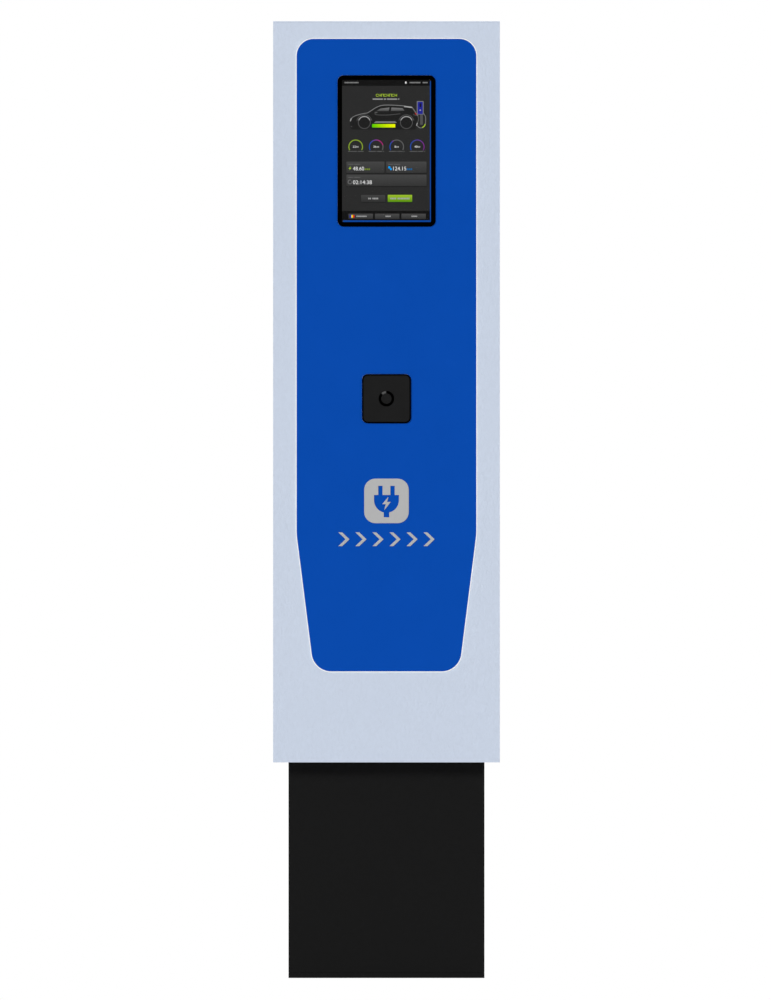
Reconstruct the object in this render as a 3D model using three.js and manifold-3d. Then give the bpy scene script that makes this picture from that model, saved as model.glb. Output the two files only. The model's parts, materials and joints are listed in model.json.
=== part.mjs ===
// A free-standing car charging kiosk, in millimetres, +Z up.
// It stands on the floor at z = 0, centred on x = 0 and y = 0, and its front faces -Y.
import * as THREE from "three";
import { mergeVertices } from "three/addons/utils/BufferGeometryUtils.js";
import Module from "manifold-3d";

const wasm = await Module();
wasm.setup();

// ---------------------------------------------------------------- driving dimensions

const gap = 0.3; // clearance between two pieces that touch
const sheet = 2; // sheet steel of the cabinet

const cabinet = { width: 346, depth: 230, bottom: 329, top: 1460 };
const plinth = { width: 299, depth: 183, wall: 3, basePlate: 8 };
const anchor = { radius: 7, x: 118, y: 62 };
const supplyWay = { width: 150, depth: 90 };
const plinthAccess = { width: 239, bottom: 45, top: 290, overlap: 12, rim: 8 };

const trayDepth = 17; // height of the roof's and the floor's rim
const gland = { bore: 16, thread: 24, nut: 29, collar: 7, below: 312, above: 358 };

const doorway = { width: 310, bottom: 351, top: 1437, rebate: 20, lip: 10 };
const door = { play: 1.5, flange: 15 };
const seal = { inset: 2, width: 6 };
const hinge = { heights: { lower: 470, upper: 1320 }, length: 60, knuckle: 5, pin: 2, leaf: 2.2 };
const hingeReach = { door: 30, edge: 1, stand: 0.5, clearance: 1 };
const pinHead = { radius: 3.5, thickness: 1.7 };
const lock = { x: 130, heights: { lower: 560, upper: 1230 }, barrel: 9, flange: 12, plug: 5.5 };
const lockDepth = { flange: 4, plug: 3.5, behindRebate: 1 }; // how far each reaches past the door
const cam = { width: 14, thickness: 3, reach: 24, heel: 7, nut: 3 };

const panel = { halfWidth: 137, top: 1433, knee: 677, bottom: 468, bottomHalfWidth: 110.7 };
const panelCorner = { top: 26, knee: 120, bottom: 30 };
const panelThickness = 2;
const trim = { width: 1.2, thickness: 2.3 };

const display = { width: 135.6, height: 216.9, z: 1262, border: 6.8, corner: 9, bezel: 3.3 };
const aperture = { corner: 1, play: 0.5 };
const glassThickness = 1.8;
const lcd = { width: 150, height: 232, depth: 8, behindGlass: 0.4 };
const computer = { width: 136, height: 120, depth: 22 };
const fins = { count: 7, pitch: 18, height: 12, slot: 10 };
const reader = { width: 74.3, height: 74.6, z: 884, corner: 8.4, plate: 3.3, box: 60, boxDepth: 18 };
const ring = { outer: 11.55, inner: 8.2, depth: 2.3, proud: 0.2 };
const button = { radius: 7.85, proud: 0.5, flange: 9.85, flangeThickness: 2, stem: 2.5 };
const board = { size: 55, front: 12, thickness: 1.6 };
const pressSwitch = { size: 7, front: 5.2 };

const niche = { width: 120, height: 160, z: 600, corner: 12, depth: 32, flange: 10 };
const socket = { z: 596, radius: 31, face: 152, back: 92 };
const socketFlange = { size: 76, thickness: 5, corner: 6 };
const plugGroove = { radius: 27, flat: 22, floor: 104 };
const insert = { radius: 20, flat: 15, face: 150.5, holeDepth: 36 };
const lid = { width: 66, height: 66, z: 594, corner: 10, thickness: 4, play: 0.6 };
const lidHinge = { x: 157, z: 638, knuckle: 4, pin: 2, pinEnd: 1 };
const lidArmOverlap = 6;
const fingerLip = { width: 24, height: 4, depth: 5, inset: 2 };
const lidEar = { y: 18, thickness: 6, ahead: 4, above: 5, overlap: 4 };
const lockPin = { radius: 2.5, x: 117, length: 22, rest: 0.5 };
const actuator = { length: 34, width: 36, height: 26, bore: 18 };

const plate = { width: 300, bottom: 800, top: 1400, y: -70 };
const railHeights = { top: 1310, middle: 1115, bottom: 930 };
const rail = { length: 288, height: 35, depth: 7.5, thickness: 1, base: 27 };

const finishes = {
  paleSteel: { color: 0xc8d2e2, roughness: 0.55, metalness: 0.1 },
  darkSteel: { color: 0x1c1c1c, roughness: 0.6, metalness: 0.1 },
  zinc: { color: 0xa8adb2, roughness: 0.35, metalness: 0.9 },
  steel: { color: 0xb9bcc0, roughness: 0.3, metalness: 1.0 },
  blueSheet: { color: 0x0d4bab, roughness: 0.3, metalness: 0.0 },
  paleTrim: { color: 0xe6e8ec, roughness: 0.4, metalness: 0.1 },
  blackGloss: { color: 0x050505, roughness: 0.2, metalness: 0.0 },
  blackPlastic: { color: 0x212121, roughness: 0.5, metalness: 0.0 },
  glass: { color: 0x101418, roughness: 0.05, metalness: 0.0 },
  screen: { color: 0x2d2d2d, roughness: 0.3, metalness: 0.0 },
  rubber: { color: 0x151515, roughness: 0.9, metalness: 0.0 },
  greyPlastic: { color: 0xd5d7d6, roughness: 0.5, metalness: 0.0 },
  greenBoard: { color: 0x1f5f35, roughness: 0.5, metalness: 0.0 },
  lightRing: { color: 0x050505, roughness: 0.3, metalness: 0.0 },
  lever: { color: 0x1e1e20, roughness: 0.4, metalness: 0.0 },
};

// ---------------------------------------------------------------- solids and outlines

// A three.js geometry as a closed manifold-3d solid.
function solidOf(geometry) {
  const bare = geometry.clone();
  bare.deleteAttribute("normal");
  bare.deleteAttribute("uv");
  const merged = mergeVertices(bare);
  const mesh = new wasm.Mesh({
    numProp: 3,
    vertProperties: merged.attributes.position.array,
    triVerts: new Uint32Array(merged.index.array),
  });
  return new wasm.Manifold(mesh);
}

function geometryOf(solid) {
  const mesh = solid.getMesh();
  const indexed = new THREE.BufferGeometry()
    .setAttribute("position", new THREE.BufferAttribute(mesh.vertProperties, 3))
    .setIndex(new THREE.BufferAttribute(mesh.triVerts, 1));
  const faceted = indexed.toNonIndexed();
  faceted.computeVertexNormals();
  return faceted;
}

function join(first, ...others) {
  return geometryOf(others.reduce((sum, other) => sum.add(solidOf(other)), solidOf(first)));
}

function cut(base, ...tools) {
  return geometryOf(tools.reduce((left, tool) => left.subtract(solidOf(tool)), solidOf(base)));
}

// The two ends of a length laid out around a middle.
function around(middle, length) {
  return [middle - length / 2, middle + length / 2];
}

function block([x0, x1], [y0, y1], [z0, z1]) {
  return new THREE.BoxGeometry(x1 - x0, y1 - y0, z1 - z0).translate(
    (x0 + x1) / 2,
    (y0 + y1) / 2,
    (z0 + z1) / 2,
  );
}

// A cylinder along x, y or z between two places on that axis. `centre` holds its other two places.
function rod(axis, radius, [from, to], centre = {}, segments = 20) {
  const place = { x: 0, y: 0, z: 0, ...centre, [axis]: (from + to) / 2 };
  const geometry = new THREE.CylinderGeometry(radius, radius, to - from, segments);
  if (axis === "x") geometry.rotateZ(-Math.PI / 2);
  if (axis === "z") geometry.rotateX(Math.PI / 2);
  return geometry.translate(place.x, place.y, place.z);
}

// A closed outline through corners [across, up, radius], in counter-clockwise order.
function roundedOutline(corners) {
  const shape = new THREE.Shape();
  corners.forEach(([x, y, radius], i) => {
    const [beforeX, beforeY] = corners[(i + corners.length - 1) % corners.length];
    const [afterX, afterY] = corners[(i + 1) % corners.length];
    const here = new THREE.Vector2(x, y);
    const into = new THREE.Vector2(x - beforeX, y - beforeY).normalize();
    const out = new THREE.Vector2(afterX - x, afterY - y).normalize();
    const turn = Math.acos(THREE.MathUtils.clamp(into.dot(out), -1, 1));
    const start = here.clone().addScaledVector(into, -radius * Math.tan(turn / 2));
    const inward = new THREE.Vector2(-into.y, into.x);
    const middle = start.clone().addScaledVector(inward, radius);
    const angle = Math.atan2(-inward.y, -inward.x);
    shape.absarc(middle.x, middle.y, radius, angle, angle + turn, false);
  });
  shape.closePath();
  return shape;
}

function roundedRectangle(width, height, radius, middleUp = 0) {
  const across = width / 2;
  const top = middleUp + height / 2;
  const bottom = middleUp - height / 2;
  return roundedOutline([
    [-across, bottom, radius],
    [across, bottom, radius],
    [across, top, radius],
    [-across, top, radius],
  ]);
}

// A circle around (0, up) with its top cut off flat, the outline of a charging plug.
function flatToppedCircle(radius, flat, up) {
  const angle = Math.asin(flat / radius);
  const shape = new THREE.Shape();
  shape.absarc(0, up, radius, Math.PI - angle, 2 * Math.PI + angle, false);
  shape.closePath();
  return shape;
}

function polygon(points) {
  return new THREE.Shape(points.map(([across, up]) => new THREE.Vector2(across, up)));
}

// An outline drawn in x and z, thickened from y = `back` towards the front.
function facingFront(shape, back, thickness, curveSegments = 6) {
  return new THREE.ExtrudeGeometry(shape, { depth: thickness, bevelEnabled: false, curveSegments })
    .rotateX(Math.PI / 2)
    .translate(0, back, 0);
}

// An outline drawn in y and z, thickened from x = `from` towards +X.
function facingSide(shape, from, thickness, curveSegments = 3) {
  return new THREE.ExtrudeGeometry(shape, { depth: thickness, bevelEnabled: false, curveSegments })
    .rotateX(Math.PI / 2)
    .rotateZ(Math.PI / 2)
    .translate(from, 0, 0);
}

function addPart(parent, name, geometry, finish, [x, y, z] = [0, 0, 0]) {
  const mesh = new THREE.Mesh(geometry, new THREE.MeshStandardMaterial(finishes[finish]));
  mesh.name = name;
  mesh.position.set(x, y, z);
  parent.add(mesh);
}

const kiosk = new THREE.Group();

// ---------------------------------------------------------------- plinth

const frontFace = -cabinet.depth / 2;
const rearFace = cabinet.depth / 2;
const insideWidth = cabinet.width - 2 * sheet;
const insideDepth = cabinet.depth - 2 * sheet;

function basePlate() {
  const slab = block(
    around(0, plinth.width),
    around(0, plinth.depth),
    [0, plinth.basePlate],
  );
  const through = [-1, plinth.basePlate + 1];
  const holes = [-1, 1].flatMap((side) =>
    [-1, 1].map((end) => {
      const centre = { x: side * anchor.x, y: end * anchor.y };
      return rod("z", anchor.radius, through, centre, 12);
    }),
  );
  const cableWay = block(around(0, supplyWay.width), around(0, supplyWay.depth), through);
  return cut(slab, cableWay, ...holes);
}

function plinthBody() {
  const bottom = plinth.basePlate + gap;
  const ceiling = cabinet.bottom - plinth.wall;
  const outside = block(
    around(0, plinth.width),
    around(0, plinth.depth),
    [bottom, cabinet.bottom],
  );
  const inside = block(
    around(0, plinth.width - 2 * plinth.wall),
    around(0, plinth.depth - 2 * plinth.wall),
    [bottom - 1, ceiling],
  );
  const cableWay = block(
    around(0, supplyWay.width),
    around(0, supplyWay.depth),
    [ceiling - 1, cabinet.bottom + 1],
  );
  const access = block(
    around(0, plinthAccess.width),
    [0, plinth.depth],
    [plinthAccess.bottom, plinthAccess.top],
  );
  return cut(outside, inside, cableWay, access);
}

// A flat cover with a rim behind it that locates it in the access opening.
function plinthRearCover() {
  const back = plinth.depth / 2 + gap;
  const { width, bottom, top, overlap, rim } = plinthAccess;
  const face = block(
    around(0, width + 2 * overlap),
    [back, back + sheet],
    [bottom - overlap, top + overlap],
  );
  const rimOutside = block(
    around(0, width - 2 * gap),
    [back - rim, back + sheet / 2],
    [bottom + gap, top - gap],
  );
  const rimInside = block(
    around(0, width - 2 * gap - 2 * sheet),
    [back - rim - 1, back],
    [bottom + gap + sheet, top - gap - sheet],
  );
  return cut(join(face, rimOutside), rimInside);
}

addPart(kiosk, "base_plate", basePlate(), "darkSteel");
addPart(kiosk, "plinth_body", plinthBody(), "darkSteel");
addPart(kiosk, "plinth_rear_cover", plinthRearCover(), "darkSteel");

// ---------------------------------------------------------------- cabinet

// The opening for the display's picture, grown outwards by `offset`.
function apertureOutline(offset) {
  const side = 2 * offset;
  return roundedRectangle(display.width + side, display.height + side, aperture.corner, display.z);
}

// The folded channel round the doorway that carries the door seal.
function doorwayRebate() {
  const { width, bottom, top, rebate, lip } = doorway;
  const outside = block(
    around(0, width + 2 * sheet),
    [rearFace - rebate, rearFace - sheet / 2],
    [bottom - sheet, top + sheet],
  );
  const recess = block(
    around(0, width),
    [rearFace - rebate + sheet, rearFace + 1],
    [bottom, top],
  );
  const way = block(
    around(0, width - 2 * lip),
    [rearFace - rebate - 1, rearFace + 1],
    [bottom + lip, top - lip],
  );
  return cut(outside, recess, way);
}

function cabinetShell() {
  const top = cabinet.top - sheet - gap;
  const outside = block(
    around(0, cabinet.width),
    around(0, cabinet.depth),
    [cabinet.bottom, top],
  );
  const inside = block(
    around(0, insideWidth),
    around(0, insideDepth),
    [cabinet.bottom - 1, top + 1],
  );
  const doorOpening = block(
    around(0, doorway.width),
    [0, rearFace + 1],
    [doorway.bottom, doorway.top],
  );
  const displayWindow = facingFront(apertureOutline(aperture.play), 0, cabinet.depth, 1);
  const readerWindow = block(
    around(0, reader.box + 2 * gap),
    [frontFace - 1, 0],
    around(reader.z, reader.box + 2 * gap),
  );
  const nicheWindows = facingSide(
    roundedRectangle(niche.width, niche.height, niche.corner, niche.z),
    -cabinet.width / 2 - 1,
    cabinet.width + 2,
  );
  const walls = cut(outside, inside, doorOpening, displayWindow, readerWindow, nicheWindows);
  return join(walls, doorwayRebate());
}

// The upright rim of a tray that slides into the shell.
function trayRim(heights) {
  const width = insideWidth - 2 * gap;
  const depth = insideDepth - 2 * gap;
  const outside = block(around(0, width), around(0, depth), heights);
  const inside = block(
    around(0, width - 2 * sheet),
    around(0, depth - 2 * sheet),
    [heights[0] - 1, heights[1] + 1],
  );
  return cut(outside, inside);
}

function roofCover() {
  const top = block(
    around(0, cabinet.width),
    around(0, cabinet.depth),
    [cabinet.top - sheet, cabinet.top],
  );
  return join(top, trayRim([cabinet.top - trayDepth, cabinet.top - sheet / 2]));
}

function cabinetFloor() {
  const bottom = cabinet.bottom + gap;
  const slab = block(
    around(0, insideWidth - 2 * gap),
    around(0, insideDepth - 2 * gap),
    [bottom, bottom + sheet],
  );
  const glandHole = rod("z", gland.thread + gap, [bottom - 1, bottom + sheet + 1]);
  return join(cut(slab, glandHole), trayRim([bottom + sheet / 2, bottom + trayDepth]));
}

function doorSeal() {
  const { width, bottom, top, rebate } = doorway;
  const back = rearFace - rebate + sheet + gap;
  const thickness = rearFace - door.flange - gap - back;
  const height = top - bottom;
  const middle = (top + bottom) / 2;
  const outside = block(
    around(0, width - 2 * seal.inset),
    [back, back + thickness],
    around(middle, height - 2 * seal.inset),
  );
  const inside = block(
    around(0, width - 2 * seal.inset - 2 * seal.width),
    [back - 1, back + thickness + 1],
    around(middle, height - 2 * seal.inset - 2 * seal.width),
  );
  return cut(outside, inside);
}

addPart(kiosk, "cabinet_shell", cabinetShell(), "paleSteel");
addPart(kiosk, "roof_cover", roofCover(), "paleSteel");
addPart(kiosk, "cabinet_floor", cabinetFloor(), "paleSteel");
addPart(kiosk, "door_seal", doorSeal(), "rubber");

// ---------------------------------------------------------------- supply gland

// A hollow cable gland through the cabinet floor, with its lock nut underneath.
function supplyGland() {
  const { bore, thread, nut, collar, below, above } = gland;
  const floorBottom = cabinet.bottom + gap;
  const floorTop = floorBottom + sheet;
  const profile = [
    [bore, below],
    [thread, below],
    [thread, floorBottom - gap - collar],
    [nut, floorBottom - gap - collar],
    [nut, floorBottom - gap],
    [thread, floorBottom - gap],
    [thread, floorTop + gap],
    [nut, floorTop + gap],
    [nut, floorTop + gap + collar],
    [thread, floorTop + gap + 2 * collar],
    [bore + sheet, above],
    [bore, above],
    [bore, below],
  ];
  const points = profile.map(([radius, height]) => new THREE.Vector2(radius, height));
  return new THREE.LatheGeometry(points, 16).rotateX(Math.PI / 2);
}

addPart(kiosk, "supply_gland", supplyGland(), "blackPlastic");

// ---------------------------------------------------------------- rear door, hinges and locks

function rearDoor() {
  const width = doorway.width - 2 * door.play;
  const [bottom, top] = [doorway.bottom + door.play, doorway.top - door.play];
  const front = rearFace - door.flange;
  const pan = block(around(0, width), [front, rearFace], [bottom, top]);
  const hollow = block(
    around(0, width - 2 * sheet),
    [front - 1, rearFace - sheet],
    [bottom + sheet, top - sheet],
  );
  const lockHoles = Object.values(lock.heights).map((z) =>
    rod("y", lock.barrel + gap, [front, rearFace + 1], { x: lock.x, z }),
  );
  return cut(pan, hollow, ...lockHoles);
}

addPart(kiosk, "rear_door", rearDoor(), "paleSteel");

// Hinges are drawn round their own pin, which stands at the gap between doorway and door.
const pinX = -doorway.width / 2 + door.play / 2;
const pinY = rearFace + gap + hinge.knuckle + hingeReach.stand;
const leafBack = rearFace + gap - pinY;
const knuckleLength = hinge.length / 3;

// One leaf: a plate on side -1 (frame) or +1 (door) of the pin, with a knuckle at each given height.
function hingeLeaf(side, knuckleHeights, reach) {
  const clear = hinge.knuckle + hingeReach.clearance;
  const plateX = [side * clear, side * reach].sort((a, b) => a - b);
  const webX = [0, side * (clear + 1)].sort((a, b) => a - b);
  const thickness = [leafBack, leafBack + hinge.leaf];
  const leafPlate = block(plateX, thickness, around(0, hinge.length));
  const parts = knuckleHeights.flatMap((height) => {
    const span = around(height, knuckleLength - gap);
    return [block(webX, thickness, span), rod("z", hinge.knuckle, span, {}, 16)];
  });
  const bore = rod("z", hinge.pin + gap, around(0, hinge.length + 2), {}, 12);
  return cut(join(leafPlate, ...parts), bore);
}

function hingePin() {
  const half = hinge.length / 2;
  const headBottom = half + gap;
  const shank = rod("z", hinge.pin, [-half - 1, headBottom + 1], {}, 12);
  const head = rod("z", pinHead.radius, [headBottom, headBottom + pinHead.thickness], {}, 12);
  return join(shank, head);
}

for (const [level, z] of Object.entries(hinge.heights)) {
  const place = [pinX, pinY, z];
  const frameReach = cabinet.width / 2 + pinX - hingeReach.edge;
  const frameLeaf = hingeLeaf(-1, [-knuckleLength, knuckleLength], frameReach);
  addPart(kiosk, `hinge_${level}_frame_leaf`, frameLeaf, "steel", place);
  addPart(kiosk, `hinge_${level}_door_leaf`, hingeLeaf(1, [0], hingeReach.door), "steel", place);
  addPart(kiosk, `hinge_${level}_pin`, hingePin(), "steel", place);
}

// Locks are drawn round the barrel's axis, which runs along y.
const lockFront = rearFace - doorway.rebate - lockDepth.behindRebate;

function lockBarrel() {
  const body = rod("y", lock.barrel, [lockFront, rearFace + gap + 1]);
  const flange = rod("y", lock.flange, [rearFace + gap, rearFace + lockDepth.flange], {}, 28);
  const bore = rod("y", lock.plug + gap, [lockFront - 1, rearFace + lockDepth.flange + 1]);
  return cut(join(body, flange), bore);
}

// The key plug and its cam, unlocked: the cam hangs straight down.
function lockCam() {
  const camFront = lockFront - gap - cam.thickness;
  const plug = rod("y", lock.plug, [camFront - cam.nut, rearFace + lockDepth.plug]);
  const arm = block(
    around(0, cam.width),
    [camFront, camFront + cam.thickness],
    [-cam.reach, cam.heel],
  );
  return join(plug, arm);
}

for (const [level, z] of Object.entries(lock.heights)) {
  addPart(kiosk, `lock_${level}_barrel`, lockBarrel(), "steel", [lock.x, 0, z]);
  addPart(kiosk, `lock_${level}_cam`, lockCam(), "steel", [lock.x, 0, z]);
}

// ---------------------------------------------------------------- front panel

const panelBack = frontFace - gap;

// The front panel's outline, grown outwards by `offset`.
function panelOutline(offset) {
  const slope = (panel.halfWidth - panel.bottomHalfWidth) / (panel.knee - panel.bottom);
  const stretch = Math.hypot(1, slope);
  const bottom = panel.bottom - offset;
  const across = panel.halfWidth + offset;
  const bottomAcross = panel.bottomHalfWidth + offset * (stretch - slope);
  const knee = panel.knee - (offset * (stretch - 1)) / slope;
  const top = panel.top + offset;
  return roundedOutline([
    [-bottomAcross, bottom, panelCorner.bottom + offset],
    [bottomAcross, bottom, panelCorner.bottom + offset],
    [across, knee, panelCorner.knee],
    [across, top, panelCorner.top + offset],
    [-across, top, panelCorner.top + offset],
    [-across, knee, panelCorner.knee],
  ]);
}

function bezelOutline(offset) {
  const side = 2 * (display.border + offset);
  const corner = display.corner + offset;
  return roundedRectangle(display.width + side, display.height + side, corner, display.z);
}

function readerOutline(offset) {
  const side = 2 * offset;
  const corner = reader.corner + offset;
  return roundedRectangle(reader.width + side, reader.height + side, corner, reader.z);
}

function frontPanel() {
  const slab = facingFront(panelOutline(0), panelBack, panelThickness);
  const windows = [bezelOutline(gap), readerOutline(gap)].map((outline) =>
    facingFront(outline, panelBack + 1, panelThickness + 2),
  );
  return cut(slab, ...windows);
}

function panelTrim() {
  const outer = facingFront(panelOutline(gap + trim.width), panelBack, trim.thickness);
  const inner = facingFront(panelOutline(gap), panelBack + 1, trim.thickness + 2);
  return cut(outer, inner);
}

function displayBezel() {
  const outer = facingFront(bezelOutline(0), panelBack, display.bezel);
  const window = facingFront(apertureOutline(0), panelBack + 1, display.bezel + 2, 1);
  return cut(outer, window);
}

function displayGlass() {
  return block(
    around(0, display.width - 2 * gap),
    [panelBack - gap - glassThickness, panelBack - gap],
    around(display.z, display.height - 2 * gap),
  );
}

// The panel's picture area reaches through the shell's window, and its frame sits behind the shell.
function lcdModule() {
  const inside = frontFace + sheet + gap;
  const picture = block(
    around(0, display.width - 2 * gap),
    [panelBack - gap + lcd.behindGlass, inside + 1],
    around(display.z, display.height - 2 * gap),
  );
  const body = block(
    around(0, lcd.width),
    [inside, inside + lcd.depth],
    around(display.z, lcd.height),
  );
  return join(picture, body);
}

// A flat computer with cooling fins towards the rear.
function displayComputer() {
  const front = frontFace + sheet + gap + lcd.depth + gap;
  const back = front + computer.depth;
  const body = block(
    around(0, computer.width),
    [front, back],
    around(display.z, computer.height),
  );
  const slots = Array.from({ length: fins.count }, (_, i) =>
    block(
      around((i - (fins.count - 1) / 2) * fins.pitch, fins.slot),
      [back - fins.height, back + 1],
      around(display.z, computer.height + 2),
    ),
  );
  return cut(body, ...slots);
}

addPart(kiosk, "front_panel", frontPanel(), "blueSheet");
addPart(kiosk, "panel_trim", panelTrim(), "paleTrim");
addPart(kiosk, "display_bezel", displayBezel(), "blackGloss");
addPart(kiosk, "display_glass", displayGlass(), "glass");
addPart(kiosk, "lcd_module", lcdModule(), "screen");
addPart(kiosk, "display_computer", displayComputer(), "zinc");

// ---------------------------------------------------------------- card reader and its start button

const readerFace = panelBack - reader.plate;

// A square front plate with an open box behind it, bored for the light ring and the button.
function readerHousing() {
  const face = facingFront(readerOutline(0), panelBack, reader.plate);
  const boxOutside = block(
    around(0, reader.box),
    [panelBack - 1, panelBack + reader.boxDepth],
    around(reader.z, reader.box),
  );
  const boxInside = block(
    around(0, reader.box - 2 * sheet),
    [panelBack, panelBack + reader.boxDepth + 1],
    around(reader.z, reader.box - 2 * sheet),
  );
  const middle = { z: reader.z };
  const ringSeat = rod("y", ring.outer + gap, [readerFace - 1, readerFace + ring.depth], middle, 32);
  const buttonHole = rod("y", ring.inner, [readerFace - 1, panelBack + 1], middle, 32);
  return cut(join(face, boxOutside), boxInside, ringSeat, buttonHole);
}

function readerLightRing() {
  const depth = [readerFace - ring.proud, readerFace + ring.depth - gap];
  const outside = rod("y", ring.outer, depth, {}, 32);
  const inside = rod("y", ring.inner, [depth[0] - 1, depth[1] + 1], {}, 32);
  return cut(outside, inside);
}

function readerButton() {
  const flangeFront = panelBack + gap;
  const flangeBack = flangeFront + button.flangeThickness;
  const cap = rod("y", button.radius, [readerFace - button.proud, flangeFront + 1], {}, 32);
  const flange = rod("y", button.flange, [flangeFront, flangeBack], {}, 16);
  const stem = rod("y", button.stem, [flangeFront + 1, flangeBack + 1], {}, 10);
  return join(cap, flange, stem);
}

// The antenna board, with the switch that the button presses.
function readerBoard() {
  const front = panelBack + board.front;
  const slab = block(around(0, board.size), [front, front + board.thickness], around(0, board.size));
  const plunger = block(
    around(0, pressSwitch.size),
    [panelBack + pressSwitch.front, front + board.thickness / 2],
    around(0, pressSwitch.size),
  );
  return join(slab, plunger);
}

addPart(kiosk, "reader_housing", readerHousing(), "blackPlastic");
addPart(kiosk, "reader_light_ring", readerLightRing(), "lightRing", [0, 0, reader.z]);
addPart(kiosk, "reader_button", readerButton(), "blackPlastic", [0, 0, reader.z]);
addPart(kiosk, "reader_board", readerBoard(), "greenBoard", [0, 0, reader.z]);

// ---------------------------------------------------------------- charging sockets in the side walls

const wallInside = insideWidth / 2;
const nicheFloor = wallInside - gap - niche.depth;

function nichePan() {
  const front = wallInside - gap;
  const { width, height, corner, flange, z } = niche;
  const plateOutline = roundedRectangle(width + 2 * flange, height + 2 * flange, corner, z);
  const wallOutline = roundedRectangle(width + 2 * sheet, height + 2 * sheet, corner + sheet, z);
  const flangePlate = facingSide(plateOutline, front - sheet, sheet);
  const walls = facingSide(wallOutline, nicheFloor, niche.depth);
  const hollow = facingSide(
    roundedRectangle(width, height, corner, z),
    nicheFloor + sheet,
    niche.depth + 2,
  );
  const socketHole = rod(
    "x",
    socket.radius + gap,
    [nicheFloor - 1, nicheFloor + sheet + 1],
    { z: socket.z },
    24,
  );
  return cut(join(flangePlate, walls), hollow, socketHole);
}

const lidAxis = { x: lidHinge.x, z: lidHinge.z };

// The socket's flange sits on the niche floor, with two ears for the lid's pin.
function socketBody() {
  const flangeBack = nicheFloor + sheet + gap;
  const { size, thickness, corner } = socketFlange;
  const flange = facingSide(roundedRectangle(size, size, corner, socket.z), flangeBack, thickness);
  const barrel = rod("x", socket.radius, [socket.back, flangeBack + 2], { z: socket.z }, 24);
  const collar = rod("x", socket.radius, [flangeBack, socket.face], { z: socket.z }, 24);
  const ears = [-1, 1].map((side) =>
    block(
      [flangeBack, lidHinge.x + lidEar.ahead],
      around(side * lidEar.y, lidEar.thickness),
      [socket.z + size / 2 - lidEar.overlap, lidHinge.z + lidEar.above],
    ),
  );
  const groove = facingSide(
    flatToppedCircle(plugGroove.radius, plugGroove.flat, socket.z),
    plugGroove.floor,
    socket.face - plugGroove.floor + 1,
    12,
  );
  const pinBore = rod(
    "z",
    lockPin.radius + gap,
    [socket.z, socket.z + socket.radius + 2],
    { x: lockPin.x },
    12,
  );
  const earBore = rod("y", lidHinge.pin + gap, around(0, 2 * size), lidAxis, 12);
  return cut(join(barrel, collar, flange, ...ears), groove, pinBore, earBore);
}

// Seven contact holes: two small signal contacts above, three and two power contacts below.
const contactHoles = [
  { y: -6, z: 8, radius: 2 },
  { y: 6, z: 8, radius: 2 },
  { y: -12, z: -1, radius: 3.1 },
  { y: 0, z: -1, radius: 3.1 },
  { y: 12, z: -1, radius: 3.1 },
  { y: -6.5, z: -11.5, radius: 3.1 },
  { y: 6.5, z: -11.5, radius: 3.1 },
];

function socketInsert() {
  const back = plugGroove.floor + gap;
  const plug = facingSide(
    flatToppedCircle(insert.radius, insert.flat, socket.z),
    back,
    insert.face - back,
    12,
  );
  const holes = contactHoles.map(({ y, z, radius }) =>
    rod("x", radius, [insert.face - insert.holeDepth, insert.face + 1], { y, z: socket.z + z }, 10),
  );
  return cut(plug, ...holes);
}

// The spring lid, drawn closed, with an arm up to its knuckle between the socket's ears.
function socketLid() {
  const back = socket.face + lid.play;
  const front = back + lid.thickness;
  const outline = roundedRectangle(lid.width, lid.height, lid.corner, lid.z);
  const cover = facingSide(outline, back, lid.thickness);
  const armWidth = 2 * lidEar.y - lidEar.thickness - 2 * gap;
  const arm = block(
    [back, front],
    around(0, armWidth),
    [lid.z + lid.height / 2 - lidArmOverlap, lidHinge.z],
  );
  const knuckle = rod("y", lidHinge.knuckle, around(0, armWidth), lidAxis, 16);
  const lipBottom = lid.z - lid.height / 2 + fingerLip.inset;
  const lip = block(
    [back + 1, front + fingerLip.depth],
    around(0, fingerLip.width),
    [lipBottom, lipBottom + fingerLip.height],
  );
  const bore = rod("y", lidHinge.pin + gap, around(0, armWidth + 2), lidAxis, 12);
  return cut(join(cover, arm, knuckle, lip), bore);
}

function lidPin() {
  const length = 2 * lidEar.y + lidEar.thickness + 2 * lidHinge.pinEnd;
  return rod("y", lidHinge.pin, around(0, length), lidAxis, 12);
}

// The motor box on top of the socket, bored for the lock pin.
function lockActuator() {
  const bottom = socket.z + socket.radius + gap;
  const { length, width, height, bore } = actuator;
  const box = block(around(lockPin.x, length), around(0, width), [bottom, bottom + height]);
  const pinBore = rod("z", lockPin.radius + gap, [bottom - 1, bottom + bore], { x: lockPin.x }, 12);
  return cut(box, pinBore);
}

// The lock pin, drawn back so that its end is level with the plug groove's flat.
function plugLockPin() {
  const bottom = socket.z + plugGroove.flat + lockPin.rest;
  return rod("z", lockPin.radius, [bottom, bottom + lockPin.length], { x: lockPin.x }, 12);
}

// Both sockets are one and the same part, so the left one is the right one turned half round.
const stationTurns = { right: 0, left: Math.PI };
for (const [side, turn] of Object.entries(stationTurns)) {
  const station = new THREE.Group();
  station.rotation.z = turn;
  addPart(station, `niche_${side}_pan`, nichePan(), "paleSteel");
  addPart(station, `socket_${side}_body`, socketBody(), "blackPlastic");
  addPart(station, `socket_${side}_insert`, socketInsert(), "blackPlastic");
  addPart(station, `socket_${side}_lid`, socketLid(), "blackPlastic");
  addPart(station, `socket_${side}_lid_pin`, lidPin(), "steel");
  addPart(station, `lock_actuator_${side}`, lockActuator(), "blackPlastic");
  addPart(station, `lock_pin_${side}`, plugLockPin(), "steel");
  kiosk.add(station);
}

// ---------------------------------------------------------------- mounting plate, rails and devices

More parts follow.
